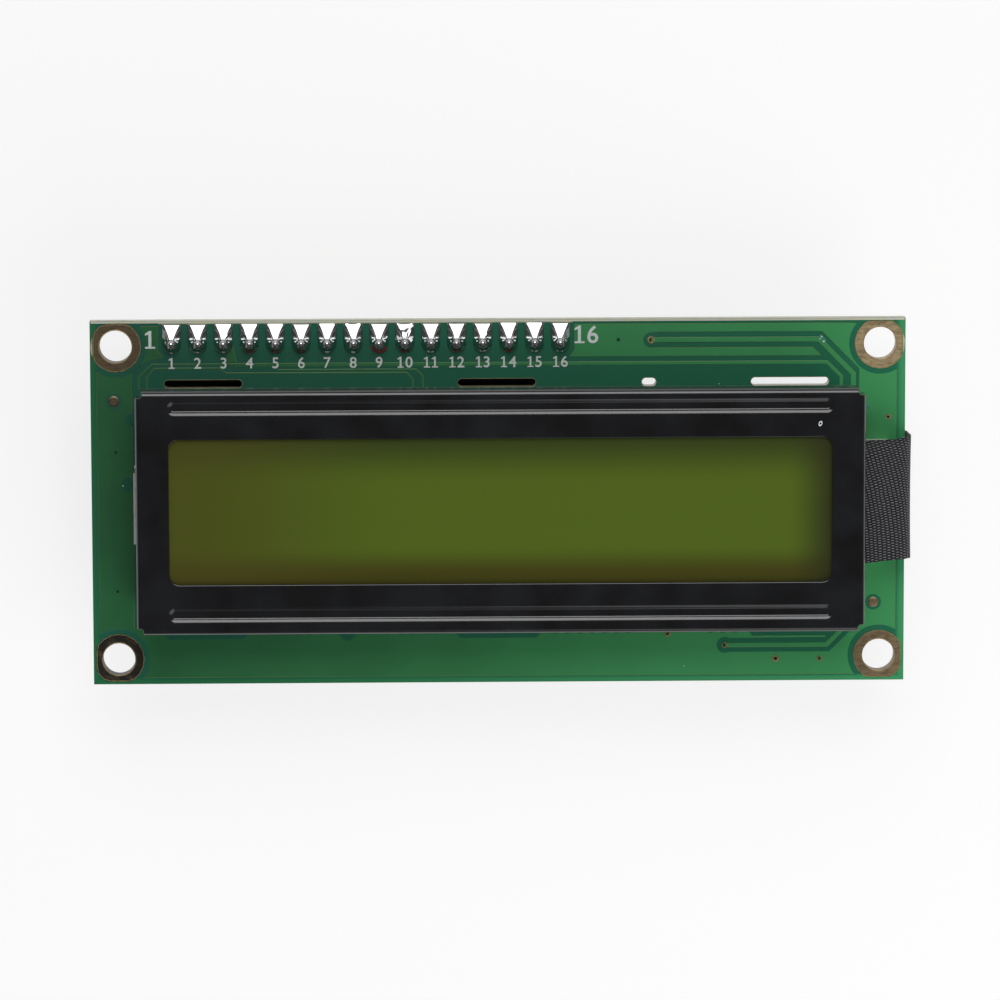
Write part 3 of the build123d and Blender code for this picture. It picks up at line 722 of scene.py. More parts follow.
def grow(bm: bmesh.types.BMesh, edges: list) -> tuple[list, list, list]:
    """Extrudes edges.

    Args:
        bm: The mesh.
        edges: One edge or a ring of them.

    Returns:
        The new vertices, the edges that join them and the new faces.
    """
    grown = bmesh.ops.extrude_edge_only(bm, edges=edges)["geom"]
    verts = [g for g in grown if isinstance(g, bmesh.types.BMVert)]
    ahead = [g for g in grown if isinstance(g, bmesh.types.BMEdge) and set(g.verts) <= set(verts)]
    return verts, ahead, [g for g in grown if isinstance(g, bmesh.types.BMFace)]


def raise_faces(bm: bmesh.types.BMesh, faces: list, rise: float, slope: float, material: int = 0) -> None:
    """Raises flat faces into a closed plate with sloping sides.

    Args:
        bm: The mesh.
        faces: Flat faces that face up.
        rise: The plate's height.
        slope: How far its sides lean in.
        material: The faces' material number.
    """
    for face in faces:
        if face.normal.z < 0:
            face.normal_flip()
    copied = bmesh.ops.duplicate(bm, geom=faces)["geom"]
    under = [f for f in copied if isinstance(f, bmesh.types.BMFace)]
    bmesh.ops.reverse_faces(bm, faces=under)
    ring = bmesh.ops.inset_region(bm, faces=faces, thickness=slope, depth=rise, use_even_offset=True,
                                  use_boundary=True)["faces"]
    every = list(faces) + ring + under
    for face in every:
        face.material_index = material
    verts = list(dict.fromkeys(v for f in every for v in f.verts))
    bmesh.ops.remove_doubles(bm, verts=verts, dist=WELD)


def flat_face(bm: bmesh.types.BMesh, corners: Sequence[Point], level: float) -> bmesh.types.BMFace:
    """Adds one flat face from a few corners.

    Args:
        bm: The mesh.
        corners: Its corners.
        level: Its height.

    Returns:
        The face, facing up.
    """
    face = bm.faces.new([bm.verts.new((x, y, level)) for x, y in corners])
    face.normal_update()
    if face.normal.z < 0:
        face.normal_flip()
    return face


def plate(bm: bmesh.types.BMesh, corners: Sequence[Point], level: float, rise: float, slope: float = 0.03,
          rounding: float = 0.0, material: int = 0) -> None:
    """Adds a thin plate with a polygon outline.

    Args:
        bm: The mesh.
        corners: Its corners.
        level: Its underside's height.
        rise: Its thickness.
        slope: How far its sides lean in.
        rounding: Radius of its corners.
        material: Its material number.
    """
    face = flat_face(bm, corners, level)
    if rounding:
        grown = bmesh.ops.bevel(bm, geom=list(face.verts), offset=rounding, offset_type="OFFSET", segments=5,
                                profile=0.5, affect="VERTICES", material=-1)
        face = next(f for v in grown["verts"] for f in v.link_faces)
    raise_faces(bm, [face], rise, slope, material)


def disc(bm: bmesh.types.BMesh, centre: Point, radius: float, level: float, rise: float, slope: float = 0.03,
         segments: int = 24, material: int = 0) -> None:
    """Adds a thin round plate.

    Args:
        bm: The mesh.
        centre: Its centre.
        radius: Its radius.
        level: Its underside's height.
        rise: Its thickness.
        slope: How far its sides lean in.
        segments: Its number of sides.
        material: Its material number.
    """
    made = bmesh.ops.create_circle(bm, cap_ends=True, segments=segments, radius=radius,
                                   matrix=Matrix.Translation((centre[0], centre[1], level)))
    faces = list(dict.fromkeys(f for v in made["verts"] for f in v.link_faces))
    for face in faces:
        face.normal_update()
    raise_faces(bm, faces, rise, slope, material)


def washer(bm: bmesh.types.BMesh, centre: Point, inner: float, outer: float, level: float, rise: float,
           segments: int = 24, material: int = 0) -> None:
    """Adds a thin flat ring.

    Args:
        bm: The mesh.
        centre: Its centre.
        inner: Its inner radius.
        outer: Its outer radius.
        level: Its underside's height.
        rise: Its thickness.
        segments: Its number of sides.
        material: Its material number.
    """
    place = Matrix.Translation((centre[0], centre[1], level))
    made = bmesh.ops.create_circle(bm, segments=segments, radius=inner, matrix=place)
    outer_verts, _, faces = grow(bm, edges_at(made["verts"]))
    factor = outer / inner
    bmesh.ops.scale(bm, vec=(factor, factor, 1), space=place.inverted(), verts=outer_verts)
    for face in faces:
        face.normal_update()
    raise_faces(bm, faces, rise, min(0.02, (outer - inner) / 4), material)


def mitre(path: Sequence[Point], i: int) -> Vector:
    """The sideways direction of a path at one point, longer where it bends.

    Args:
        path: The path's points.
        i: The point's number.

    Returns:
        A flat vector that reaches one unit off the path's line.
    """
    runs = []
    for a, b in ((i - 1, i), (i, i + 1)):
        if 0 <= a and b < len(path):
            runs.append((Vector(path[b]) - Vector(path[a])).normalized())
    middle = (runs[0] + runs[-1]).normalized()
    side = Vector((-middle.y, middle.x))
    return side / max(0.3, side.dot(Vector((-runs[0].y, runs[0].x))))


def ribbon(bm: bmesh.types.BMesh, path: Sequence[Point], width: float, level: float, rise: float,
           slope: float = 0.03, material: int = 0) -> None:
    """Adds a track of even width along a path.

    Args:
        bm: The mesh.
        path: Its centre line.
        width: Its width.
        level: Its underside's height.
        rise: Its thickness.
        slope: How far its sides lean in.
        material: Its material number.
    """
    ends = []
    for i, point in enumerate(path):
        side = mitre(path, i) * (width / 2)
        ends.append([(point[0] + s * side.x, point[1] + s * side.y, level) for s in (-1, 1)])
    edge = bm.edges.new([bm.verts.new(p) for p in ends[0]])
    faces = []
    for spots in ends[1:]:
        moves = [(vert.co.copy(), spot) for vert, spot in zip(edge.verts, spots)]
        _, (edge,), made = grow(bm, [edge])
        for old, spot in moves:
            next(v for v in edge.verts if (v.co - old).length < SAME).co = spot
        faces += made
    for face in faces:
        face.normal_update()
    raise_faces(bm, faces, rise, slope, material)


@dataclass
class BoardArtwork:
    """Copper, clearances, vias and ink on the display board's front, in thin layers over the board."""

    pour_rise: float = 0.03
    gap_level: float = 0.026
    gap_rise: float = 0.008
    track_level: float = 0.03
    track_rise: float = 0.02
    ink_level: float = 0.02
    ink_rise: float = 0.035
    hole_x: float = 37.5
    hole_y: float = 15.5
    hole_gap: float = 3.05
    pour_reach: float = 2.75
    slot_y: float = 11.76
    slot_centres: tuple[float, ...] = (-28.95, -0.15, 28.65)
    slot_length: float = 7.65
    slot_width: float = 0.83
    slot_band: float = 0.06
    short_slot: tuple[float, float] = (14.8, 1.4)
    gap_inner: float = 2.45
    trim: Point = (39.98, 17.98)
    row_y: float = -12.72
    row_pitch: float = 1.2
    row_gap: float = 0.52
    bore_rim: Point = (1.61, 1.7)
    pad_rim: float = 2.47
    pad_limit: Point = (39.66, 17.66)
    rim_width: float = 0.07
    rim_rise: float = 0.015
    rim_step: float = 18.0
    digit_gap: float = 0.16
    digit_bold: float = 0.012
    one: tuple[Point, ...] = ((0.0, 0.0), (0.56, 0.0), (0.56, 0.11), (0.36, 0.11), (0.36, 1.0), (0.24, 1.0),
                              (0.0, 0.84), (0.0, 0.73), (0.19, 0.8), (0.19, 0.11), (0.0, 0.11))
    one_width: float = 0.56
    pad_top: float = 0.05
    specks: tuple[tuple[Point, float], ...] = (
        ((31.75, 16.15), 0.09), ((31.95, 15.7), 0.11), ((31.6, 15.95), 0.07), ((21.7, 11.55), 0.05),
        ((18.3, -16.5), 0.05), ((-36.9, 1.75), 0.08))
    stain: tuple[Point, float] = ((36.35, 9.25), 0.24)
    smear: tuple[Point, Point] = ((31.5, 16.25), (32.1, 15.6))
    smear_width: float = 0.5

    def build(self) -> None:
        """Builds every layer."""
        self.pour()
        self.gaps()
        self.tracks()
        self.vias()
        self.edge_strips()
        self.marks()
        self.ink()

    def pour(self) -> None:
        """The wide copper areas round the display, one outline with a channel in its upper right part."""
        bm = bmesh.new()
        x, y = self.hole_x, self.hole_y
        around = [(7.48, 17.53), (34.7, 17.53), *self.round_hole(x, y, 135, 307), (39.17, 12.7),
                  (39.17, -12.9), *self.round_hole(x, -y, 53, 225), (34.6, -17.38), (-34.7, -17.38),
                  *self.round_hole(-x, -y, -45, 127), (-39.39, -12.9), (-39.39, 12.94), (-35.95, 12.94),
                  (-35.95, -12.5), (35.45, -12.5), (35.45, 13.0), (31.78, 16.7), (14.98, 16.7),
                  (14.98, 15.16), (30.9, 15.16), (31.72, 14.3), (6.98, 14.3), (7.48, 15.0)]
        beside_row = [(-35.0, 17.5), (-33.35, 17.5), (-33.35, 15.0), (-32.85, 14.45), (-33.9, 14.2),
                      (-35.0, 13.75)]
        between_pins = [(-26.35, 15.4), (-25.95, 15.4), (-25.6, 13.9), (-26.6, 13.9)]
        for corners in (around, beside_row, between_pins):
            plate(bm, corners, 0.0, self.pour_rise)
        # The pour's mask takes the same painted light, from MASK_COPPER at the left to MASK_COPPER_LIT at the
        # right
        mask = SolderMask("screened_solder_mask_over_copper", Hue.MASK_COPPER, Hue.MASK_COPPER_LIT,
                          Hue.MASK_SLOPE, Hue.MASK_SLOPE, 0.85, painted_edge_light=False)
        make_object("copper_pour_front", bm, [mask], smooth=CRISP)

    def holes(self) -> list[Point]:
        """The middles of the four mounting holes."""
        return [(x, y) for x in (-self.hole_x, self.hole_x) for y in (-self.hole_y, self.hole_y)]

    def round_hole(self, x: float, y: float, start: float, end: float) -> list[Point]:
        """Points of the pour's edge round one mounting hole, under the gap ring.

        Args:
            x: The hole's X.
            y: The hole's Y.
            start: Direction of the first point, in degrees.
            end: Direction of the last point.

        Returns:
            The points.
        """
        turns = [math.radians(start + (end - start) * i / 16) for i in range(17)]
        return [(x + self.pour_reach * math.cos(a), y + self.pour_reach * math.sin(a)) for a in turns]

    def gaps(self) -> None:
        """The bare bands round holes, vias, pads and slots, drawn over the copper."""
        bm = bmesh.new()
        level, rise = self.gap_level, self.gap_rise
        for hole in self.holes():
            washer(bm, hole, self.gap_inner, self.hole_gap, level, rise, segments=64)
        for way in ((1, 0), (-1, 0), (0, 1), (0, -1)):
            edge = (way[0] * self.trim[0], way[1] * self.trim[1], 0)
            every = list(bm.verts) + list(bm.edges) + list(bm.faces)
            cut = bmesh.ops.bisect_plane(bm, geom=every, plane_co=edge, plane_no=(*way, 0), clear_outer=True)
            rim = [g for g in cut["geom_cut"] if isinstance(g, bmesh.types.BMEdge)]
            bmesh.ops.holes_fill(bm, edges=rim)
        for centre, radius in (((15.0, 15.93), 0.78), ((-37.72, 10.11), 0.84), ((36.95, -10.2), 0.8),
                               ((22.3, -14.43), 0.82), ((-36.3, 1.88), 0.8), ((-36.09, 8.31), 0.6),
                               ((-14.95, -12.95), 0.85)):
            disc(bm, centre, radius, level, rise)
        for left, right, low in ((-33.1, -24.75, -13.58), (-4.3, 4.2, -13.6), (24.7, 33.0, -13.85)):
            plate(bm, [(left, -12.45), (left, -13.1), (left + 0.5, low), (right - 0.5, low), (right, -13.1),
                       (right, -12.45)], level, rise)
        for start, count in ((-23.5, 6), (-9.7, 4), (5.6, 7), (20.9, 3)):
            for i in range(count):
                disc(bm, (start + self.row_pitch * i, self.row_y), self.row_gap, level, rise, segments=16)
        ribbon(bm, [(22.3, -14.43), (32.35, -14.43), (34.8, -12.0)], 1.42, level + 0.0005, rise)
        plate(bm, rectangle((11.6, 16.2), (11.98, 15.75)), level, rise)
        mask = SolderMask("screened_solder_mask_green")
        make_object("copper_gaps_front", bm, [mask], smooth=CRISP)

    def tracks(self) -> None:
        """The tracks that leave the pour's channels and the pin row."""
        bm = bmesh.new()
        level, rise = self.track_level, self.track_rise
        ribbon(bm, [(15.0, 15.93), (31.5, 15.93), (34.87, 12.5), (34.87, 11.3)], 0.5, level, rise)
        ribbon(bm, [(22.3, -14.43), (32.35, -14.43), (34.8, -12.0)], 0.46, level, rise)
        ribbon(bm, [(25.0, -13.58), (32.25, -13.58)], 0.2, level, rise)
        thin = ([(-35.23, 11.3), (-35.23, 12.5), (-33.98, 13.72), (-26.08, 13.72)],
                [(-34.45, 11.3), (-34.45, 12.5), (-33.7, 13.32), (-27.25, 13.32), (-26.7, 12.82),
                 (-8.96, 12.81), (-8.37, 12.11), (-8.37, 11.3)],
                [(-21.59, 13.13), (-8.07, 13.13), (-7.39, 12.46), (-7.39, 11.3)])
        for path in thin:
            ribbon(bm, path, 0.15, 0.0, rise)
        ribbon(bm, [(-26.08, 13.65), (32.3, 13.65), (33.7, 12.25), (33.7, 11.3)], 0.34, 0.0, rise)
        mask = SolderMask("screened_solder_mask_over_copper")
        make_object("copper_tracks_front", bm, [mask], smooth=CRISP)

    def vias(self) -> None:
        """Small plated holes with gilded rims, their bores drawn as dark discs of painted shade, and the bare
        test pads.
        """
        bm = bmesh.new()
        level = self.track_level + 0.012
        for centre, inner, outer in (((15.0, 15.93), 0.2, 0.37), ((38.34, 8.2), 0.14, 0.28),
                                     ((16.65, -13.27), 0.14, 0.28), ((22.3, -14.43), 0.17, 0.3),
                                     ((27.33, -15.81), 0.17, 0.33), ((31.67, -15.81), 0.15, 0.26)):
            washer(bm, centre, inner, outer, level, 0.02)
            # The bore: a dark disc of painted shade over the board, not a hole
            disc(bm, centre, inner, level, 0.006, segments=16, material=1)
        # Vias without rims: only the disc of painted shade
        for centre in ((11.78, 15.98), (-37.59, 5.08), (-37.55, -8.74)):
            disc(bm, centre, 0.14, level, 0.006, segments=12, material=1)
        for centre, radius in (((-37.72, 10.11), 0.56), ((36.95, -10.2), 0.52)):
            disc(bm, centre, radius, self.track_level, 0.07, 0.17, material=2)
        for hole in self.holes():
            washer(bm, hole, *self.bore_rim, self.pad_top, self.rim_rise, segments=48)
            ribbon(bm, self.pad_outline(hole), self.rim_width, self.pad_top, self.rim_rise, 0.01)
        make_object("vias_and_test_pads", bm, [GoldRim(), DarkBore(), TarnishedCopper()],
                    smooth=CRISP)

    def pad_outline(self, hole: Point) -> list[Point]:
        """Points round a corner pad, held inside the board's edge.

        Args:
            hole: The hole's middle.

        Returns:
            The points, the first one again at the end.
        """
        turns = [math.radians(self.rim_step * i) for i in range(round(360 / self.rim_step) + 1)]
        outer = [(hole[0] + self.pad_rim * math.cos(a), hole[1] + self.pad_rim * math.sin(a)) for a in turns]
        return [tuple(max(-limit, min(limit, value)) for value, limit in zip(point, self.pad_limit))
                for point in outer]

    def edge_strips(self) -> None:
        """Bare laminate along the upper edge and beside the hole pads, where the mask stops short."""
        bm = bmesh.new()
        plate(bm, rectangle((-39.9, 17.78), (39.9, 17.98)), 0.0, 0.04, 0.01)
        plate(bm, rectangle((-33.3, 17.71), (7.3, 17.78)), 0.0, 0.03, 0.003, material=1)
        for way in (-1, 1):
            plate(bm, rectangle((way * 39.75, 14.4), (way * 39.95, 16.6)), 0.0, 0.01, 0.003, material=1)
        for x in self.slot_centres:
            self.slot_rim(bm, x, self.slot_length)
        self.slot_rim(bm, *self.short_slot)
        pale = MouldedPlastic("cut_glass_epoxy_edge", Hue.LAMINATE_PALE, Hue.LAMINATE, 0.6)
        olive = MouldedPlastic("bare_glass_epoxy_olive", Hue.LAMINATE_DARK, Hue.LAMINATE, 0.5)
        tan = MouldedPlastic("milled_glass_epoxy_rim", Hue.SLOT_RIM, Hue.LAMINATE_DARK, 0.6)
        make_object("laminate_strips", bm, [pale, olive, tan], smooth=CRISP)

    def slot_rim(self, bm: bmesh.types.BMesh, x: float, length: float) -> None:
        """A thin bare rim round one milled slot of the upper row.

        Args:
            bm: The mesh.
            x: The slot's middle.
            length: Its length.
        """
        turn = Matrix.Rotation(math.radians(180 / 20), 4, "Z")
        made = bmesh.ops.create_circle(bm, segments=20, radius=self.slot_width / 2,
                                       matrix=Matrix.Translation((x, self.slot_y, 0)) @ turn)
        outer, _, faces = grow(bm, edges_at(made["verts"]))
        factor = 1 + 2 * self.slot_band / self.slot_width
        middle = Matrix.Translation((-x, -self.slot_y, 0))
        bmesh.ops.scale(bm, vec=(factor, factor, 1), space=middle, verts=outer)
        apart = (length - self.slot_width) / 2
        for vert in list(made["verts"]) + outer:
            vert.co.x += apart if vert.co.x > x else -apart
        for face in faces:
            face.normal_update()
        raise_faces(bm, faces, 0.015, 0.01, 2)

    def marks(self) -> None:
        """Dust, a teal stain beside the frame and the smear at the upper right track, as photographed."""
        bm = bmesh.new()
        for centre, radius in self.specks:
            disc(bm, centre, radius, self.track_level + 0.02, 0.02, 0.01, 8)
        disc(bm, *self.stain, self.pour_rise, 0.012, 0.05, 16, 1)
        ribbon(bm, self.smear, self.smear_width, self.track_level + 0.01, 0.015, 0.1, 1)
        dust = MouldedPlastic("settled_dust", Hue.INK_WHITE, Hue.LAMINATE_PALE, 0.8)
        teal = MouldedPlastic("teal_stain", Hue.TEAL, Hue.TEAL, 0.4)
        make_object("dust_and_stains", bm, [dust, teal], smooth=CRISP)

    def ink(self) -> None:
        """Plain pin numbers in white ink, and the larger numbers at both ends of the row."""
        bm = bmesh.new()
        for i in range(16):
            self.number(bm, str(i + 1), (-32.0 + 2.54 * i, 13.84), 1.08)
        self.number(bm, "1", (-34.1, 16.17), 1.75)
        self.number(bm, "16", (8.65, 16.5), 1.75)
        make_object("pin_numbers", bm, [ScreenInk()], smooth=CRISP)

    def number(self, bm: bmesh.types.BMesh, text: str, centre: Point, height: float) -> None:
        """Adds one number, centred, digit by digit.

        Args:
            bm: The mesh.
            text: The digits.
            centre: Its centre.
            height: Its height.
        """
        glyphs = [self.glyph(digit, height) for digit in text]
        gap = self.digit_gap * height
        left = centre[0] - (sum(width for _, width in glyphs) + gap * (len(glyphs) - 1)) / 2
        for mesh, width in glyphs:
            mesh.transform(Matrix.Translation((left, centre[1] - height / 2, self.ink_level)))
            bm.from_mesh(mesh)
            bpy.data.meshes.remove(mesh)
            left += width + gap

    def glyph(self, digit: str, height: float) -> tuple[bpy.types.Mesh, float]:
        """Makes one digit as a thin plate, the one with a flag and a foot.

        Args:
            digit: The digit.
            height: Its height.

        Returns:
            Its mesh, with its lower left corner at the origin, and its width.
        """
        if digit == "1":
            mesh = bpy.data.meshes.new("one")
            shape = bmesh.new()
            plate(shape, [(x * height, y * height) for x, y in self.one], 0.0, self.ink_rise, 0.004)
            shape.to_mesh(mesh)
            shape.free()
            return mesh, self.one_width * height
        curve = bpy.data.curves.new("digit", "FONT")
        curve.body, curve.offset, curve.extrude = digit, self.digit_bold, 0.5
        holder = bpy.data.objects.new("digit", curve)
        mesh = bpy.data.meshes.new_from_object(holder)
        low, high = [Vector([pick(v.co[i] for v in mesh.vertices) for i in range(3)]) for pick in (min, max)]
        scale = height / (high.y - low.y)
        mesh.transform(Matrix.Diagonal((scale, scale, self.ink_rise, 1)) @ Matrix.Translation(-low))
        bpy.data.objects.remove(holder)
        bpy.data.curves.remove(curve)
        return mesh, (high.x - low.x) * scale


@dataclass
class PinJoints:
    """Solder joints of the front's pin row: a long fillet towards the board's edge and a tip on each pin."""

    count: int = 16
    pitch: float = 2.54
    first_x: float = -32.0
    row_y: float = 15.75
    half_width: float = 0.93
    upper_reach: float = 1.93
    lower_reach: float = 1.02
    film: float = 0.06
    crest: float = 0.86
    crest_radius: float = 0.54
    ramp_crest: float = 25.0
    ramp_edge: float = 23.0
    ramp_blend: float = 7.0
    ridge: float = 72.0
    ridge_width: float = 15.0
    ridge_fill: float = 0.7
    flank: float = 1.25
    lean: Point = (-0.05, 0.05)
    fill: Point = (0.9, 1.15)
    tall: Point = (-0.01, 0.03)
    ripple: float = 0.004
    lump: float = 0.09
    profile: Section = ((1.0, 0.0), (1.0, 0.0), (0.9, 0.07), (0.74, 0.17), (0.56, 0.32), (0.38, 0.5),
                        (0.22, 0.7), (0.09, 0.9), (0.0, 1.0))
    tip: Section = ((0.54, 0.85), (0.49, 0.77), (0.45, 0.77), (0.43, 0.92), (0.41, 1.1), (0.36, 1.25),
                    (0.27, 1.37), (0.15, 1.44), (0.05, 1.46))
    segments: int = 56
    lumpy: int = 9
    pink: int = 8
    pink_turn: Point = (-160, -25)
    pink_from: float = 0.66
    amber: tuple[int, ...] = (3, 4, 5, 9, 11, 13)
    amber_turn: Point = (-125, -60)
    amber_band: Point = (0.62, 0.92)
    seed: int = 7

    def outline(self, angle: float) -> float:
        """Distance from the pin to the pad's outline.

        Args:
            angle: Direction from the pin.

        Returns:
            The distance.
        """
        x, y = math.cos(angle), math.sin(angle)
        if y <= 0:
            return self.half_width + (self.lower_reach - self.half_width) * y * y
        side = self.half_width / abs(x) if abs(x) > SAME else math.inf
        return min(side, self.upper_reach / y)

    def ramp(self, angle: float, share: float) -> float:
        """How far a direction belongs to the flat ramp towards the board's edge.

        Args:
            angle: Direction from the pin.
            share: 0 at the crest, 1 at the pad's outline.

        Returns:
            1 on the ramp, 0 on the hollow flanks.
        """
        away = abs(math.degrees(angle) - 90)
        limit = self.ramp_crest + (self.ramp_edge - self.ramp_crest) * share
        return min(1.0, max(0.0, (limit + self.ramp_blend - away) / self.ramp_blend))

    def fullness(self, angle: float) -> float:
        """How full the fillet is in a direction: hollow flanks beside the ramp, then a ridge on each side.

        Args:
            angle: Direction from the pin.

        Returns:
            A power for the fillet's profile; lower is fuller.
        """
        away = abs((math.degrees(angle) - 90 + 180) % 360 - 180)
        return self.flank - self.ridge_fill * math.exp(-((away - self.ridge) / self.ridge_width) ** 2)

    def joint(self, bm: bmesh.types.BMesh, number: int, luck: random.Random) -> None:
        """Adds one joint: ramp and hollow flanks up to a crest, a dip round the pin and the pin's coated tip.

        Args:
            bm: The mesh.
            number: The pin's number, from 0.
            luck: The seeded source of its small differences.
        """
        x = self.first_x + self.pitch * number
        lean, fill, tall = luck.uniform(*self.lean), luck.uniform(*self.fill), luck.uniform(*self.tall)
        lumps = self.lump if number == self.lumpy else self.ripple
        ring = bmesh.ops.create_circle(bm, segments=self.segments, radius=1.0, cap_ends=False)["verts"]
        angles = {v: math.atan2(v.co.y, v.co.x) for v in ring}
        edges = edges_at(ring)
        for step, (share, rise) in enumerate(self.profile):
            if step:
                ring, edges, _ = grow(bm, edges)
                angles = {v: math.atan2(v.co.y - self.row_y, v.co.x - x) for v in ring}
            for vert in ring:
                angle = angles[vert]
                reach, ramp = self.outline(angle), self.ramp(angle, share)
                hollow = share ** (fill * self.fullness(angle))
                straight = 1 - rise if step > 1 else 1
                out = hollow + (straight - hollow) * ramp
                away = self.crest_radius + (reach - self.crest_radius) * out
                height = self.film + (self.crest + tall - self.film) * rise if step else 0.0
                if 2 < step < len(self.profile) - 1:
                    height += luck.uniform(-lumps, lumps)
                across, along = away * math.cos(angle), away * math.sin(angle)
                vert.co = (x + across + lean * rise, self.row_y + along, height)
        for radius, height in self.tip:
            fresh, edges, _ = grow(bm, edges)
            for vert in fresh:
                angle = math.atan2(vert.co.y - self.row_y, vert.co.x - x - lean)
                vert.co = (x + lean + radius * math.cos(angle), self.row_y + radius * math.sin(angle),
                           height + tall)
        bmesh.ops.contextual_create(bm, geom=edges)

    def stain(self, bm: bmesh.types.BMesh) -> None:
        """Marks the faces that dried flux covers: the ninth joint's lower flank, and a few small patches."""
        for face in bm.faces:
            middle = face.calc_center_median()
            number = round((middle.x - self.first_x) / self.pitch)
            away = Vector((middle.x - self.first_x - self.pitch * number, middle.y - self.row_y))
            turn = math.degrees(math.atan2(away.y, away.x))
            low, high = self.pink_turn if number == self.pink else self.amber_turn
            if not low < turn < high:
                continue
            if number == self.pink and away.length > self.pink_from:
                face.material_index = 1
            elif number in self.amber and self.amber_band[0] < away.length < self.amber_band[1]:
                face.material_index = 2

    def build(self) -> None:
        """Builds the row of joints with the flux beside some of them."""
        bm = bmesh.new()
        luck = random.Random(self.seed)
        for number in range(self.count):
            self.joint(bm, number, luck)
        bmesh.ops.holes_fill(bm, edges=bm.edges)
        self.stain(bm)
        amber = FluxResidue("dried_rosin_flux_amber", Hue.FLUX_AMBER)
        make_object("front_joints", bm, [BrightSolder(), FluxResidue(), amber],
                    replaces=["front_solder"], smooth=60)


@dataclass
class DisplayFrame:
    """The folded steel frame: window plate, pressed grooves, four walls and tabs that hold the board."""

    centre_x: float = 0.1
    centre_y: float = -0.11
    length: float = 71.0
    width: float = 23.92
    top: float = 7.0
    sheet: float = 0.4
    bend: float = 0.52
    corner_cut: float = 0.12
    wall_bottom: float = 4.6
    flare: float = 0.05
    end_flare: float = 0.35
    flare_steps: Section = ((0.0, 0.42), (0.2, 0.32), (0.8, 0.14), (1.0, 0.0))
    window_length: float = 64.5
    window_width: float = 14.2
    window_corner: float = 1.0
    groove_length: float = 65.2
    groove_ys: tuple[float, float] = (10.22, -10.07)
    groove_half: float = 0.9
    shoulder: float = 0.72
    toe: float = 0.22
    groove_angle: float = 42.0
    tab_offset: float = 8.9
    tab_width: float = 2.4
    key_tab_width: float = 7.1
    key_step: float = 0.35
    joggle: Section = ((0.0, 0.1), (0.15, 0.3), (0.85, 0.55), (1.0, 0.75))
    overlap: float = 0.3
    fold: float = 0.7
    board: float = 1.6
    foot: float = 1.7
    cut_round: float = 0.18
    cut_angle: float = 50.0
    mark_place: Point = (31.14, 8.42)
    mark_ring: Point = (0.11, 0.24)
    mark_turn: float = -0.35
    mark_oval: Point = (0.75, 1.15)

    def loop_edges(self, bm: bmesh.types.BMesh, face: bmesh.types.BMFace) -> list:
        """Leaves a face's outline as loose edges.

        Args:
            bm: The mesh.
            face: The face, removed here.

        Returns:
            Its edges.
        """
        edges = list(face.edges)
        bmesh.ops.delete(bm, geom=[face], context="FACES_ONLY")
        return edges

    def outline(self, bm: bmesh.types.BMesh) -> list:
        """The flat plate's outline, with its corners cut so that the walls stay apart there."""
        x, y, cut = self.length / 2 - self.bend, self.width / 2 - self.bend, self.corner_cut
        corners = [(x - cut, y), (-x + cut, y), (-x, y - cut), (-x, -y + cut), (-x + cut, -y), (x - cut, -y),
                   (x, -y + cut), (x, y - cut)]
        return self.loop_edges(bm, flat_face(bm, [(a, b + self.centre_y) for a, b in corners], self.top))

    def window(self, bm: bmesh.types.BMesh) -> list:
        """The window's rounded outline."""
        x, y = self.window_length / 2, self.window_width / 2
        face = flat_face(bm, rectangle((x, y), (-x, -y)), self.top)
        grown = bmesh.ops.bevel(bm, geom=list(face.verts), offset=self.window_corner, offset_type="OFFSET",
                                segments=6, profile=0.5, affect="VERTICES", material=-1)
        return self.loop_edges(bm, next(f for v in grown["verts"] for f in v.link_faces))

    def groove_outline(self, bm: bmesh.types.BMesh, y: float) -> list:
        """The outer outline of one pressed groove: a circle drawn apart into a slot.

        Args:
            bm: The mesh.
            y: The groove's middle.

        Returns:
            Its edges.
        """
        turn = Matrix.Rotation(math.radians(180 / 32), 4, "Z")
        made = bmesh.ops.create_circle(bm, segments=32, radius=self.groove_half,
                                       matrix=Matrix.Translation((0, y, self.top)) @ turn)
        apart = self.groove_length / 2 - self.groove_half
        for vert in made["verts"]:
            vert.co.x += apart if vert.co.x > 0 else -apart
        return edges_at(made["verts"])

    def groove_profile(self) -> Section:
        """Rings of a groove as (radius, depth): a rounded shoulder, a short slope and a rounded toe."""
        rings = []
        for i in range(1, 6):
            angle = math.radians(self.groove_angle * i / 5)
            rings.append((self.groove_half - self.shoulder * math.sin(angle),
                          self.shoulder * (1 - math.cos(angle))))
        radius, depth = rings[-1]
        full = math.radians(self.groove_angle)
        for i in range(1, 5):
            angle = full * (1 - i / 4)
            rings.append((radius - self.toe * (math.sin(full) - math.sin(angle)),
                          depth + self.toe * (math.cos(angle) - math.cos(full))))
        return rings

    def press_groove(self, bm: bmesh.types.BMesh, edges: list, y: float) -> None:
        """Draws a groove's outline down into the plate and closes its floor.

        Args:
            bm: The mesh.
            edges: Its outline.
            y: Its middle.
        """
        apart = self.groove_length / 2 - self.groove_half
        for radius, depth in self.groove_profile():
            fresh, edges, _ = grow(bm, edges)
            for vert in fresh:
                middle = apart if vert.co.x > 0 else -apart
                away = Vector((vert.co.x - middle, vert.co.y - y)).normalized() * radius
                vert.co = (middle + away.x, y + away.y, self.top - depth)
        bmesh.ops.contextual_create(bm, geom=edges)

    def wall_profile(self, flare: float) -> Section:
        """A wall's section as (distance out from the plate, height)."""
        steps = [(self.bend * math.sin(a), self.top - self.bend * (1 - math.cos(a)))
                 for a in [math.radians(15 * i) for i in range(1, 7)]]
        return steps + [(self.bend + flare * share, self.wall_bottom + height)
                        for share, height in self.flare_steps]

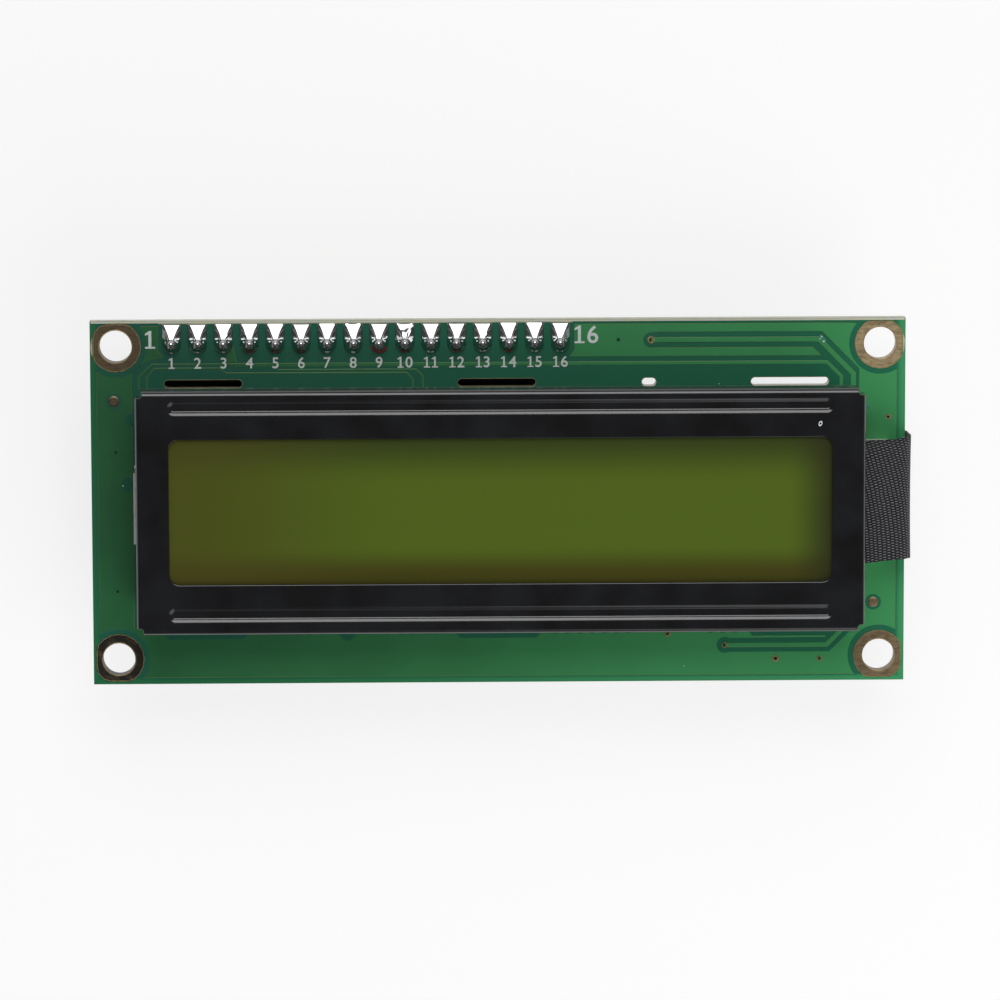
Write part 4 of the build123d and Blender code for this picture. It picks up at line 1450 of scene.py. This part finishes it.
    def fold_wall(self, bm: bmesh.types.BMesh, edge: bmesh.types.BMEdge, out: Vector, flare: float) -> None:
        """Folds one wall down from the plate's edge.

        Args:
            bm: The mesh.
            edge: The plate's edge.
            out: The direction away from the plate.
            flare: How far its lower edge stands out.
        """
        base = (edge.verts[0].co + edge.verts[1].co) / 2
        for reach, height in self.wall_profile(flare):
            fresh, (edge,), _ = grow(bm, [edge])
            for vert in fresh:
                along = vert.co - base
                along -= out * along.dot(out)
                along.z = 0
                vert.co = Vector((base.x, base.y, height)) + along + out * reach

    def bent_tab(self, bm: bmesh.types.BMesh, side: int, y: float, width: float, step: float) -> None:
        """Adds one tab: down from an end wall, through the board and folded under it.

        Args:
            bm: The mesh.
            side: 1 for the right end, -1 for the left.
            y: Its middle.
            width: Its width.
            step: How far it is joggled out below the wall.
        """
        out, low, fold = self.length / 2, -self.board - self.sheet, self.fold
        path = [(out, self.wall_bottom + self.overlap)]
        if step:
            path += [(out + step * share, self.wall_bottom - drop) for share, drop in self.joggle]
        path += [(out + step - fold + fold * math.cos(a), low + fold - fold * math.sin(a))
                 for a in [math.radians(15 * i) for i in range(7)]]
        path.append((out + step - self.foot, low))
        start = [bm.verts.new((side * path[0][0], y + s * width / 2, path[0][1])) for s in (-1, 1)]
        edge = bm.edges.new(start)
        faces = []
        for reach, height in path[1:]:
            fresh, (edge,), made = grow(bm, [edge])
            faces += made
            for vert in fresh:
                vert.co.x, vert.co.z = side * reach, height
        for face in faces:
            face.normal_update()
        outward = sum((f.normal.x * side - f.normal.z) * f.calc_area() for f in faces)
        if outward < 0:
            bmesh.ops.reverse_faces(bm, faces=faces)

    def build(self) -> None:
        """Builds the frame's outer skin, gives it the sheet's thickness and rounds its cut edges."""
        bm = bmesh.new()
        outer = self.outline(bm)
        window = self.window(bm)
        grooves = {y: self.groove_outline(bm, y) for y in self.groove_ys}
        every = outer + window + [e for edges in grooves.values() for e in edges]
        bmesh.ops.triangle_fill(bm, use_beauty=True, use_dissolve=False, normal=(0, 0, 1), edges=every)
        sides = {}
        for edge in outer:
            middle = (edge.verts[0].co + edge.verts[1].co) / 2
            if edge.calc_length() > 1 and abs(middle.x) < 1:
                sides[edge] = Vector((0, math.copysign(1, middle.y), 0))
            elif edge.calc_length() > 1:
                sides[edge] = Vector((math.copysign(1, middle.x), 0, 0))
        for y, edges in grooves.items():
            self.press_groove(bm, edges, y)
        for edge, out in sides.items():
            self.fold_wall(bm, edge, out, self.flare if out.y else self.flare * self.end_flare)
        bmesh.ops.recalc_face_normals(bm, faces=bm.faces)
        level = [f for f in bm.faces if abs(f.normal.z) > LEVEL]
        if sum(f.normal.z for f in level if f.calc_center_median().z > self.top - WELD) < 0:
            bmesh.ops.reverse_faces(bm, faces=bm.faces)
        for side in (-1, 1):
            for y in (-self.tab_offset, self.tab_offset):
                self.bent_tab(bm, side, y, self.tab_width, 0.0)
        self.bent_tab(bm, -1, 0.0, self.key_tab_width, self.key_step)
        bmesh.ops.translate(bm, vec=(self.centre_x, 0, 0), verts=bm.verts)
        piece = make_object("folded_frame", bm, [BlackEnamel()], replaces=["bezel"], smooth=40,
                            recalc=False)
        shell = piece.modifiers.new("sheet", "SOLIDIFY")
        shell.thickness, shell.offset, shell.use_even_offset = self.sheet * MM, -1, True
        edge_round = piece.modifiers.new("cut_edges", "BEVEL")
        edge_round.width, edge_round.segments, edge_round.limit_method = self.cut_round * MM, 3, "ANGLE"
        edge_round.angle_limit = math.radians(self.cut_angle)
        weighted = piece.modifiers.new("flat_faces", "WEIGHTED_NORMAL")
        weighted.keep_sharp = True
        self.mark()

    def mark(self) -> None:
        """The small pale oval ring stamped near the frame's upper right corner."""
        bm = bmesh.new()
        washer(bm, (0, 0), *self.mark_ring, 0.0, 0.02, segments=20)
        place = Matrix.Translation((*self.mark_place, self.top)) @ Matrix.Rotation(self.mark_turn, 4, "Z")
        bmesh.ops.transform(bm, matrix=place @ Matrix.Diagonal((*self.mark_oval, 1, 1)), verts=bm.verts)
        make_object("inspection_ring", bm, [ScreenInk()], smooth=CRISP)


@dataclass
class EdgeTape:
    """Woven tape over the right end: flat on the backlight's tongue, round the board's edge, under it."""

    middle_y: float = 0.4
    width: float = 12.0
    start_x: float = 34.76
    top: float = 3.96
    outer_x: float = 40.36
    under: float = -1.96
    fall: float = 1.7
    fold: float = 0.45
    tuck: float = 2.6
    thickness: float = 0.28
    slant: Point = (-0.2, 0.22)
    slant_run: float = 5.5
    bow: float = 0.06
    bow_mean: float = 0.2
    bow_under: float = 0.3
    sway: float = 0.05
    sway_turn: float = 1.1
    sway_start: float = 0.6

    def path(self) -> list[Point]:
        """Points along the tape's outer face, closer together at its bends."""
        points = [(self.start_x, self.top), (self.outer_x - self.fall, self.top)]
        points += [(self.outer_x - self.fall * (1 - math.sin(a)), self.top - self.fall * (1 - math.cos(a)))
                   for a in [math.radians(11.25 * i) for i in range(1, 9)]]
        points += [(self.outer_x - self.fold * (1 - math.cos(a)), self.under + self.fold * (1 - math.sin(a)))
                   for a in [math.radians(15 * i) for i in range(7)]]
        points.append((self.outer_x - self.tuck, self.under))
        return points

    def length(self) -> float:
        """The tape's length along its outer face."""
        points = self.path()
        return sum(math.dist(a, b) for a, b in zip(points, points[1:]))

    def at(self, way: float) -> Point:
        """The point of the path at a distance from its start.

        Args:
            way: The distance along the path.

        Returns:
            X and Z there.
        """
        points = self.path()
        for a, b in zip(points, points[1:]):
            run = math.dist(a, b)
            if way <= run + SAME or b is points[-1]:
                share = min(1.0, way / run)
                return a[0] + (b[0] - a[0]) * share, a[1] + (b[1] - a[1]) * share
            way -= run
        return points[-1]

    def build(self) -> None:
        """Lays a grid along the path, with the weave's UV map in millimetres."""
        bm = bmesh.new()
        length = self.length()
        bmesh.ops.create_grid(bm, x_segments=56, y_segments=20, size=0.5)
        bmesh.ops.transform(bm, matrix=Matrix.Diagonal((length, self.width, 1, 1)), verts=bm.verts)
        uv = bm.loops.layers.uv.new("weave")
        for face in bm.faces:
            for loop in face.loops:
                loop[uv].uv = (loop.vert.co.x, loop.vert.co.y)
        for vert in bm.verts:
            way, across = vert.co.x + length / 2, vert.co.y
            x, z = self.at(way)
            wrapped, side = min(1.0, way / self.slant_run), 2 * across / self.width
            sway = self.sway * math.sin(way * self.sway_turn + self.sway_start) * side
            slant = self.slant[0] + (self.slant[1] - self.slant[0]) * wrapped
            bow = wrapped ** 3 * self.bow * (side ** 2 - self.bow_mean)
            x += bow * (1 if z > self.under / 2 else self.bow_under)
            vert.co = (x, self.middle_y + across + sway + slant, z)
        tape = make_object("woven_tape", bm, [WovenTape()], replaces=["cloth_tape"], smooth=60,
                           recalc=False)
        shell = tape.modifiers.new("cloth", "SOLIDIFY")
        shell.thickness, shell.offset = self.thickness * MM, -1


@dataclass
class ChipEnds:
    """Tinned end caps of the chip resistors and capacitors behind the boards."""

    parts: tuple[str, ...] = ("display_resistors", "display_capacitors", "adapter_resistors",
                              "adapter_capacitor")
    share: float = 0.2
    skin: float = 0.02
    edge: float = 0.04

    def chips(self, name: str) -> list[tuple[Vector, Vector]]:
        """Finds the separate chips of one node, on a copy of its mesh.

        Args:
            name: The node's name.

        Returns:
            Each chip's low and high corner in millimetres.
        """
        bm = bmesh.new()
        bm.from_mesh(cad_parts[name].data)
        bm.transform(Matrix.Scale(1 / MM, 4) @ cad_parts[name].matrix_world)
        bmesh.ops.remove_doubles(bm, verts=bm.verts, dist=0.001)
        left, found = set(bm.verts), []
        while left:
            group, queue = [], [left.pop()]
            while queue:
                vert = queue.pop()
                group.append(vert.co.copy())
                near = {edge.other_vert(vert) for edge in vert.link_edges} & left
                left -= near
                queue.extend(near)
            low, high = [Vector([pick(co[i] for co in group) for i in range(3)]) for pick in (min, max)]
            found.append((low, high))
        bm.free()
        return sorted(found, key=lambda chip: tuple(chip[0]))

    def build(self) -> None:
        """Adds two caps to every chip, at the ends of its longer side."""
        bm = bmesh.new()
        for low, high in [chip for name in self.parts for chip in self.chips(name)]:
            size = high - low
            long_way = 0 if size.x > size.y else 1
            for end in (-1, 1):
                centre, cap = (low + high) / 2, size + Vector([2 * self.skin] * 3)
                cap[long_way] = size[long_way] * self.share + self.skin
                centre[long_way] += end * (size[long_way] / 2 + self.skin - cap[long_way] / 2)
                centre.z, cap.z = centre.z - self.skin / 2, size.z + self.skin
                place = Matrix.Translation(centre) @ Matrix.Diagonal((*cap, 1))
                edges = edges_at(bmesh.ops.create_cube(bm, size=1, matrix=place)["verts"])
                bmesh.ops.bevel(bm, geom=edges, offset=self.edge, segments=2, profile=0.5, affect="EDGES")
        make_object("chip_end_caps", bm, [TinPlate()], smooth=40)


@dataclass
class CarriedNodes:
    """Finishes for the CAD nodes whose shape is right and which are kept."""

    def finishes(self) -> dict[str, Finish]:
        """The finish of each kept node."""
        # The adapter's black mask takes the same painted light, lighter towards the right
        adapter = SolderMask("screened_solder_mask_black", Hue.ADAPTER_MASK, Hue.ADAPTER_MASK_LIT, gloss=0.28,
                             painted_edge_light=False)
        white = MouldedPlastic("moulded_polycarbonate_white", Hue.MOULDED_WHITE, Hue.MILKY, 0.4)
        epoxy = MouldedPlastic("transfer_moulded_epoxy", Hue.EPOXY, Hue.EPOXY_GREY, 0.5, 0.15, 0.006)
        drop = MouldedPlastic("dropped_epoxy", Hue.EPOXY, Hue.NYLON, 0.2, 1.5, 0.02)
        nylon = MouldedPlastic()
        ceramic, tan = ChipCeramic(), ChipCeramic("fired_ceramic_tan", Hue.CERAMIC_TAN)
        film, glass, rubber = PolarizerFilm(), FloatGlass(), LayeredRubber()
        tin, solder = TinPlate(), BrightSolder()
        return {
            # main_board and led_board take the default mask, with its painted light and painted edge light
            "main_board": SolderMask(), "mounting_pads": TarnishedCopper(), "front_polarizer": film,
            "rear_polarizer": film, "front_glass": glass, "rear_glass": glass, "contact_strip_upper": rubber,
            "contact_strip_lower": rubber, "backlight_tray": white,
            "diffuser_film": ClearPlastic("milky_diffuser_film", Hue.MILKY, 0.3, 0.6),
            "light_guide": ClearPlastic(), "led_board": SolderMask(),
            "backlight_leds": ClearPlastic("cast_lamp_resin", Hue.LAMP_YELLOW, 0.3, 0.2), "lamp_legs": tin,
            "lamp_solder": solder, "header_pins": tin, "header_spacer": nylon, "controller_dome": drop,
            "driver_dome": drop, "display_resistors": ceramic, "display_capacitors": tan,
            "adapter_board": adapter, "adapter_resistors": ceramic, "adapter_capacitor": tan,
            "adapter_led": ClearPlastic("cast_status_lamp", Hue.STATUS_LAMP, 0.4, 0.2), "rear_solder": solder,
            "header_solder": solder, "trimmer_solder": solder, "expander_chip": epoxy, "expander_leads": tin,
            "trimmer_body": MouldedPlastic("moulded_polyester_blue", Hue.BLUE, Hue.BLUE, 0.3),
            "trimmer_rotor": MouldedPlastic("moulded_rotor_white", Hue.ROTOR_WHITE, Hue.MOULDED_WHITE, 0.35),
            "trimmer_legs": tin, "serial_header_housing": nylon, "serial_header_pins": tin,
            "jumper_housing": nylon, "jumper_pins": tin, "jumper_cap": nylon, "backlight_transistor": epoxy,
        }

    def build(self) -> None:
        """Gives each kept node its finish."""
        for name, finish in self.finishes().items():
            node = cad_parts[name]
            material = finish.material()
            if not node.material_slots:
                node.data.materials.append(material)
            for holder in node.material_slots:
                holder.material = material
            LOG.info("%s: %s", name, material.name)


@dataclass
class Studio:
    """Camera, lamps, pale floor and surroundings."""

    camera_place: tuple[float, float, float] = (-10.06, 74.865, 547.73)
    camera_turn: tuple[float, float, float] = (-0.135495, -0.019014, -0.002986)
    lens: float = 202.2435
    sensor: float = 36.0
    key_power: float = 1.7
    key_shine: float = 2.6
    side_power: float = 1.0
    side_shine: float = 0.17
    key_place: tuple[float, float, float] = (0, 386, 460)
    key_size: Point = (440, 420)
    side_place: tuple[float, float, float] = (180, -240, 170)
    side_size: Point = (420, 340)
    side_shine_place: tuple[float, float, float] = (150, -230, 170)
    side_shine_size: Point = (300, 240)
    world_light: float = 0.27
    mirrored_low: Point = (0.04, 0.5)
    mirrored_high: Point = (0.4, 0.1)
    floor_size: float = 4000.0
    floor_gap: float = 0.05
    floor_matt: float = 0.25
    floor_glow: float = 0.76

    def camera(self) -> None:
        """The photograph's viewpoint, without shift."""
        data = bpy.data.cameras.new("camera")
        data.lens, data.sensor_width, data.sensor_fit = self.lens, self.sensor, "HORIZONTAL"
        data.clip_start, data.clip_end = 0.01, 20.0
        camera = bpy.data.objects.new("camera", data)
        camera.location = [c * MM for c in self.camera_place]
        camera.rotation_euler = self.camera_turn
        bpy.context.scene.collection.objects.link(camera)
        bpy.context.scene.camera = camera

    def lamp(self, name: str, place: Sequence[float], size: Point, power: float, matt: bool,
             shiny: bool) -> None:
        """Adds one soft lamp that points at the object.

        Args:
            name: Its name.
            place: Its place.
            size: Its width and height.
            power: Its power in watts.
            matt: Whether it lights matt surfaces.
            shiny: Whether glossy surfaces mirror it.
        """
        data = bpy.data.lights.new(name, "AREA")
        data.shape, data.size, data.size_y, data.energy = "RECTANGLE", size[0] * MM, size[1] * MM, power
        lamp = bpy.data.objects.new(name, data)
        lamp.location = [c * MM for c in place]
        lamp.rotation_euler = (-Vector(place)).to_track_quat("-Z", "Y").to_euler()
        lamp.visible_camera, lamp.visible_diffuse, lamp.visible_glossy = False, matt, shiny
        bpy.context.scene.collection.objects.link(lamp)

    def surroundings(self) -> None:
        """Dim light from all round; white seen directly, and in reflections pale low down and dark above."""
        world = bpy.data.worlds.new("studio")
        world.use_nodes = True
        tree = world.node_tree
        tree.nodes.clear()
        way = add_node(tree, "ShaderNodeTexCoord").outputs["Generated"]
        split = add_node(tree, "ShaderNodeSeparateXYZ", {}, {"Vector": way})
        fade = {"From Min": self.mirrored_low[0], "To Min": self.mirrored_low[1],
                "From Max": self.mirrored_high[0], "To Max": self.mirrored_high[1], "clamp": True}
        mirrored = add_node(tree, "ShaderNodeMapRange", fade, {"Value": split.outputs["Z"]}).outputs["Result"]
        rays = add_node(tree, "ShaderNodeLightPath")
        seen = add_node(tree, "ShaderNodeMath", {"operation": "MAXIMUM"},
                        {0: rays.outputs["Is Glossy Ray"], 1: rays.outputs["Is Transmission Ray"]})
        level = add_node(tree, "ShaderNodeMix", {"data_type": "FLOAT", 2: self.world_light},
                         {0: seen.outputs["Value"], 3: mirrored}).outputs[0]
        level = add_node(tree, "ShaderNodeMix", {"data_type": "FLOAT", 3: 1.0},
                         {0: rays.outputs["Is Camera Ray"], 2: level}).outputs[0]
        light = add_node(tree, "ShaderNodeBackground", {}, {"Strength": level})
        add_node(tree, "ShaderNodeOutputWorld", {}, {"Surface": light.outputs["Background"]})
        bpy.context.scene.world = world

    def floor(self) -> None:
        """A plain pale floor that keeps the object's shadow and is white to the camera and in reflections."""
        bm = bmesh.new()
        level = Matrix.Translation((0, 0, CAD_BOX[0][2] - self.floor_gap * MM))
        bmesh.ops.create_grid(bm, x_segments=1, y_segments=1, size=self.floor_size / 2 * MM, matrix=level)
        mesh = bpy.data.meshes.new("studio_floor")
        bm.to_mesh(mesh)
        bm.free()
        floor = bpy.data.objects.new("studio_floor", mesh)
        bpy.context.scene.collection.objects.link(floor)
        material = bpy.data.materials.new("matt_studio_paper")
        material.use_nodes = True
        tree = material.node_tree
        tree.nodes.clear()
        pale = add_node(tree, "ShaderNodeBsdfDiffuse", {"Color": Hue.FLOOR})
        thin = add_node(tree, "ShaderNodeBsdfDiffuse", {"Color": (*[self.floor_matt] * 3, 1)})
        glow = add_node(tree, "ShaderNodeEmission", {"Strength": self.floor_glow})
        lit = add_node(tree, "ShaderNodeAddShader", {},
                       {0: thin.outputs["BSDF"], 1: glow.outputs["Emission"]})
        rays = add_node(tree, "ShaderNodeLightPath")
        seen = add_node(tree, "ShaderNodeMath", {"operation": "MAXIMUM"},
                        {0: rays.outputs["Is Glossy Ray"], 1: rays.outputs["Is Transmission Ray"]})
        seen = add_node(tree, "ShaderNodeMath", {"operation": "MAXIMUM"},
                        {0: seen.outputs["Value"], 1: rays.outputs["Is Camera Ray"]})
        both = add_node(tree, "ShaderNodeMixShader", {}, {0: seen.outputs["Value"], 1: pale.outputs["BSDF"],
                                                          2: lit.outputs["Shader"]})
        add_node(tree, "ShaderNodeOutputMaterial", {}, {"Surface": both.outputs["Shader"]})
        mesh.materials.append(material)

    def build(self) -> None:
        """Sets the studio up."""
        self.camera()
        self.lamp("key", self.key_place, self.key_size, self.key_power, True, True)
        self.lamp("key_shine", self.key_place, self.key_size, self.key_shine, False, True)
        self.lamp("side", self.side_place, self.side_size, self.side_power, True, False)
        self.lamp("side_shine", self.side_shine_place, self.side_shine_size, self.side_shine, False, True)
        self.surroundings()
        self.floor()
        bpy.context.scene.view_settings.view_transform = "Standard"


def write_sizes() -> None:
    """Updates the view layer."""
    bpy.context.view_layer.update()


def main() -> None:
    """Builds the studio and then each sub-assembly in order."""
    logging.basicConfig(level=logging.INFO, format="%(message)s")
    for part in (Studio(), CarriedNodes(), ChipEnds(), BoardArtwork(), PinJoints(), DisplayFrame(),
                 EdgeTape()):
        part.build()
        LOG.info("built %s", type(part).__name__)
    write_sizes()


if __name__ == "__main__":
    main()
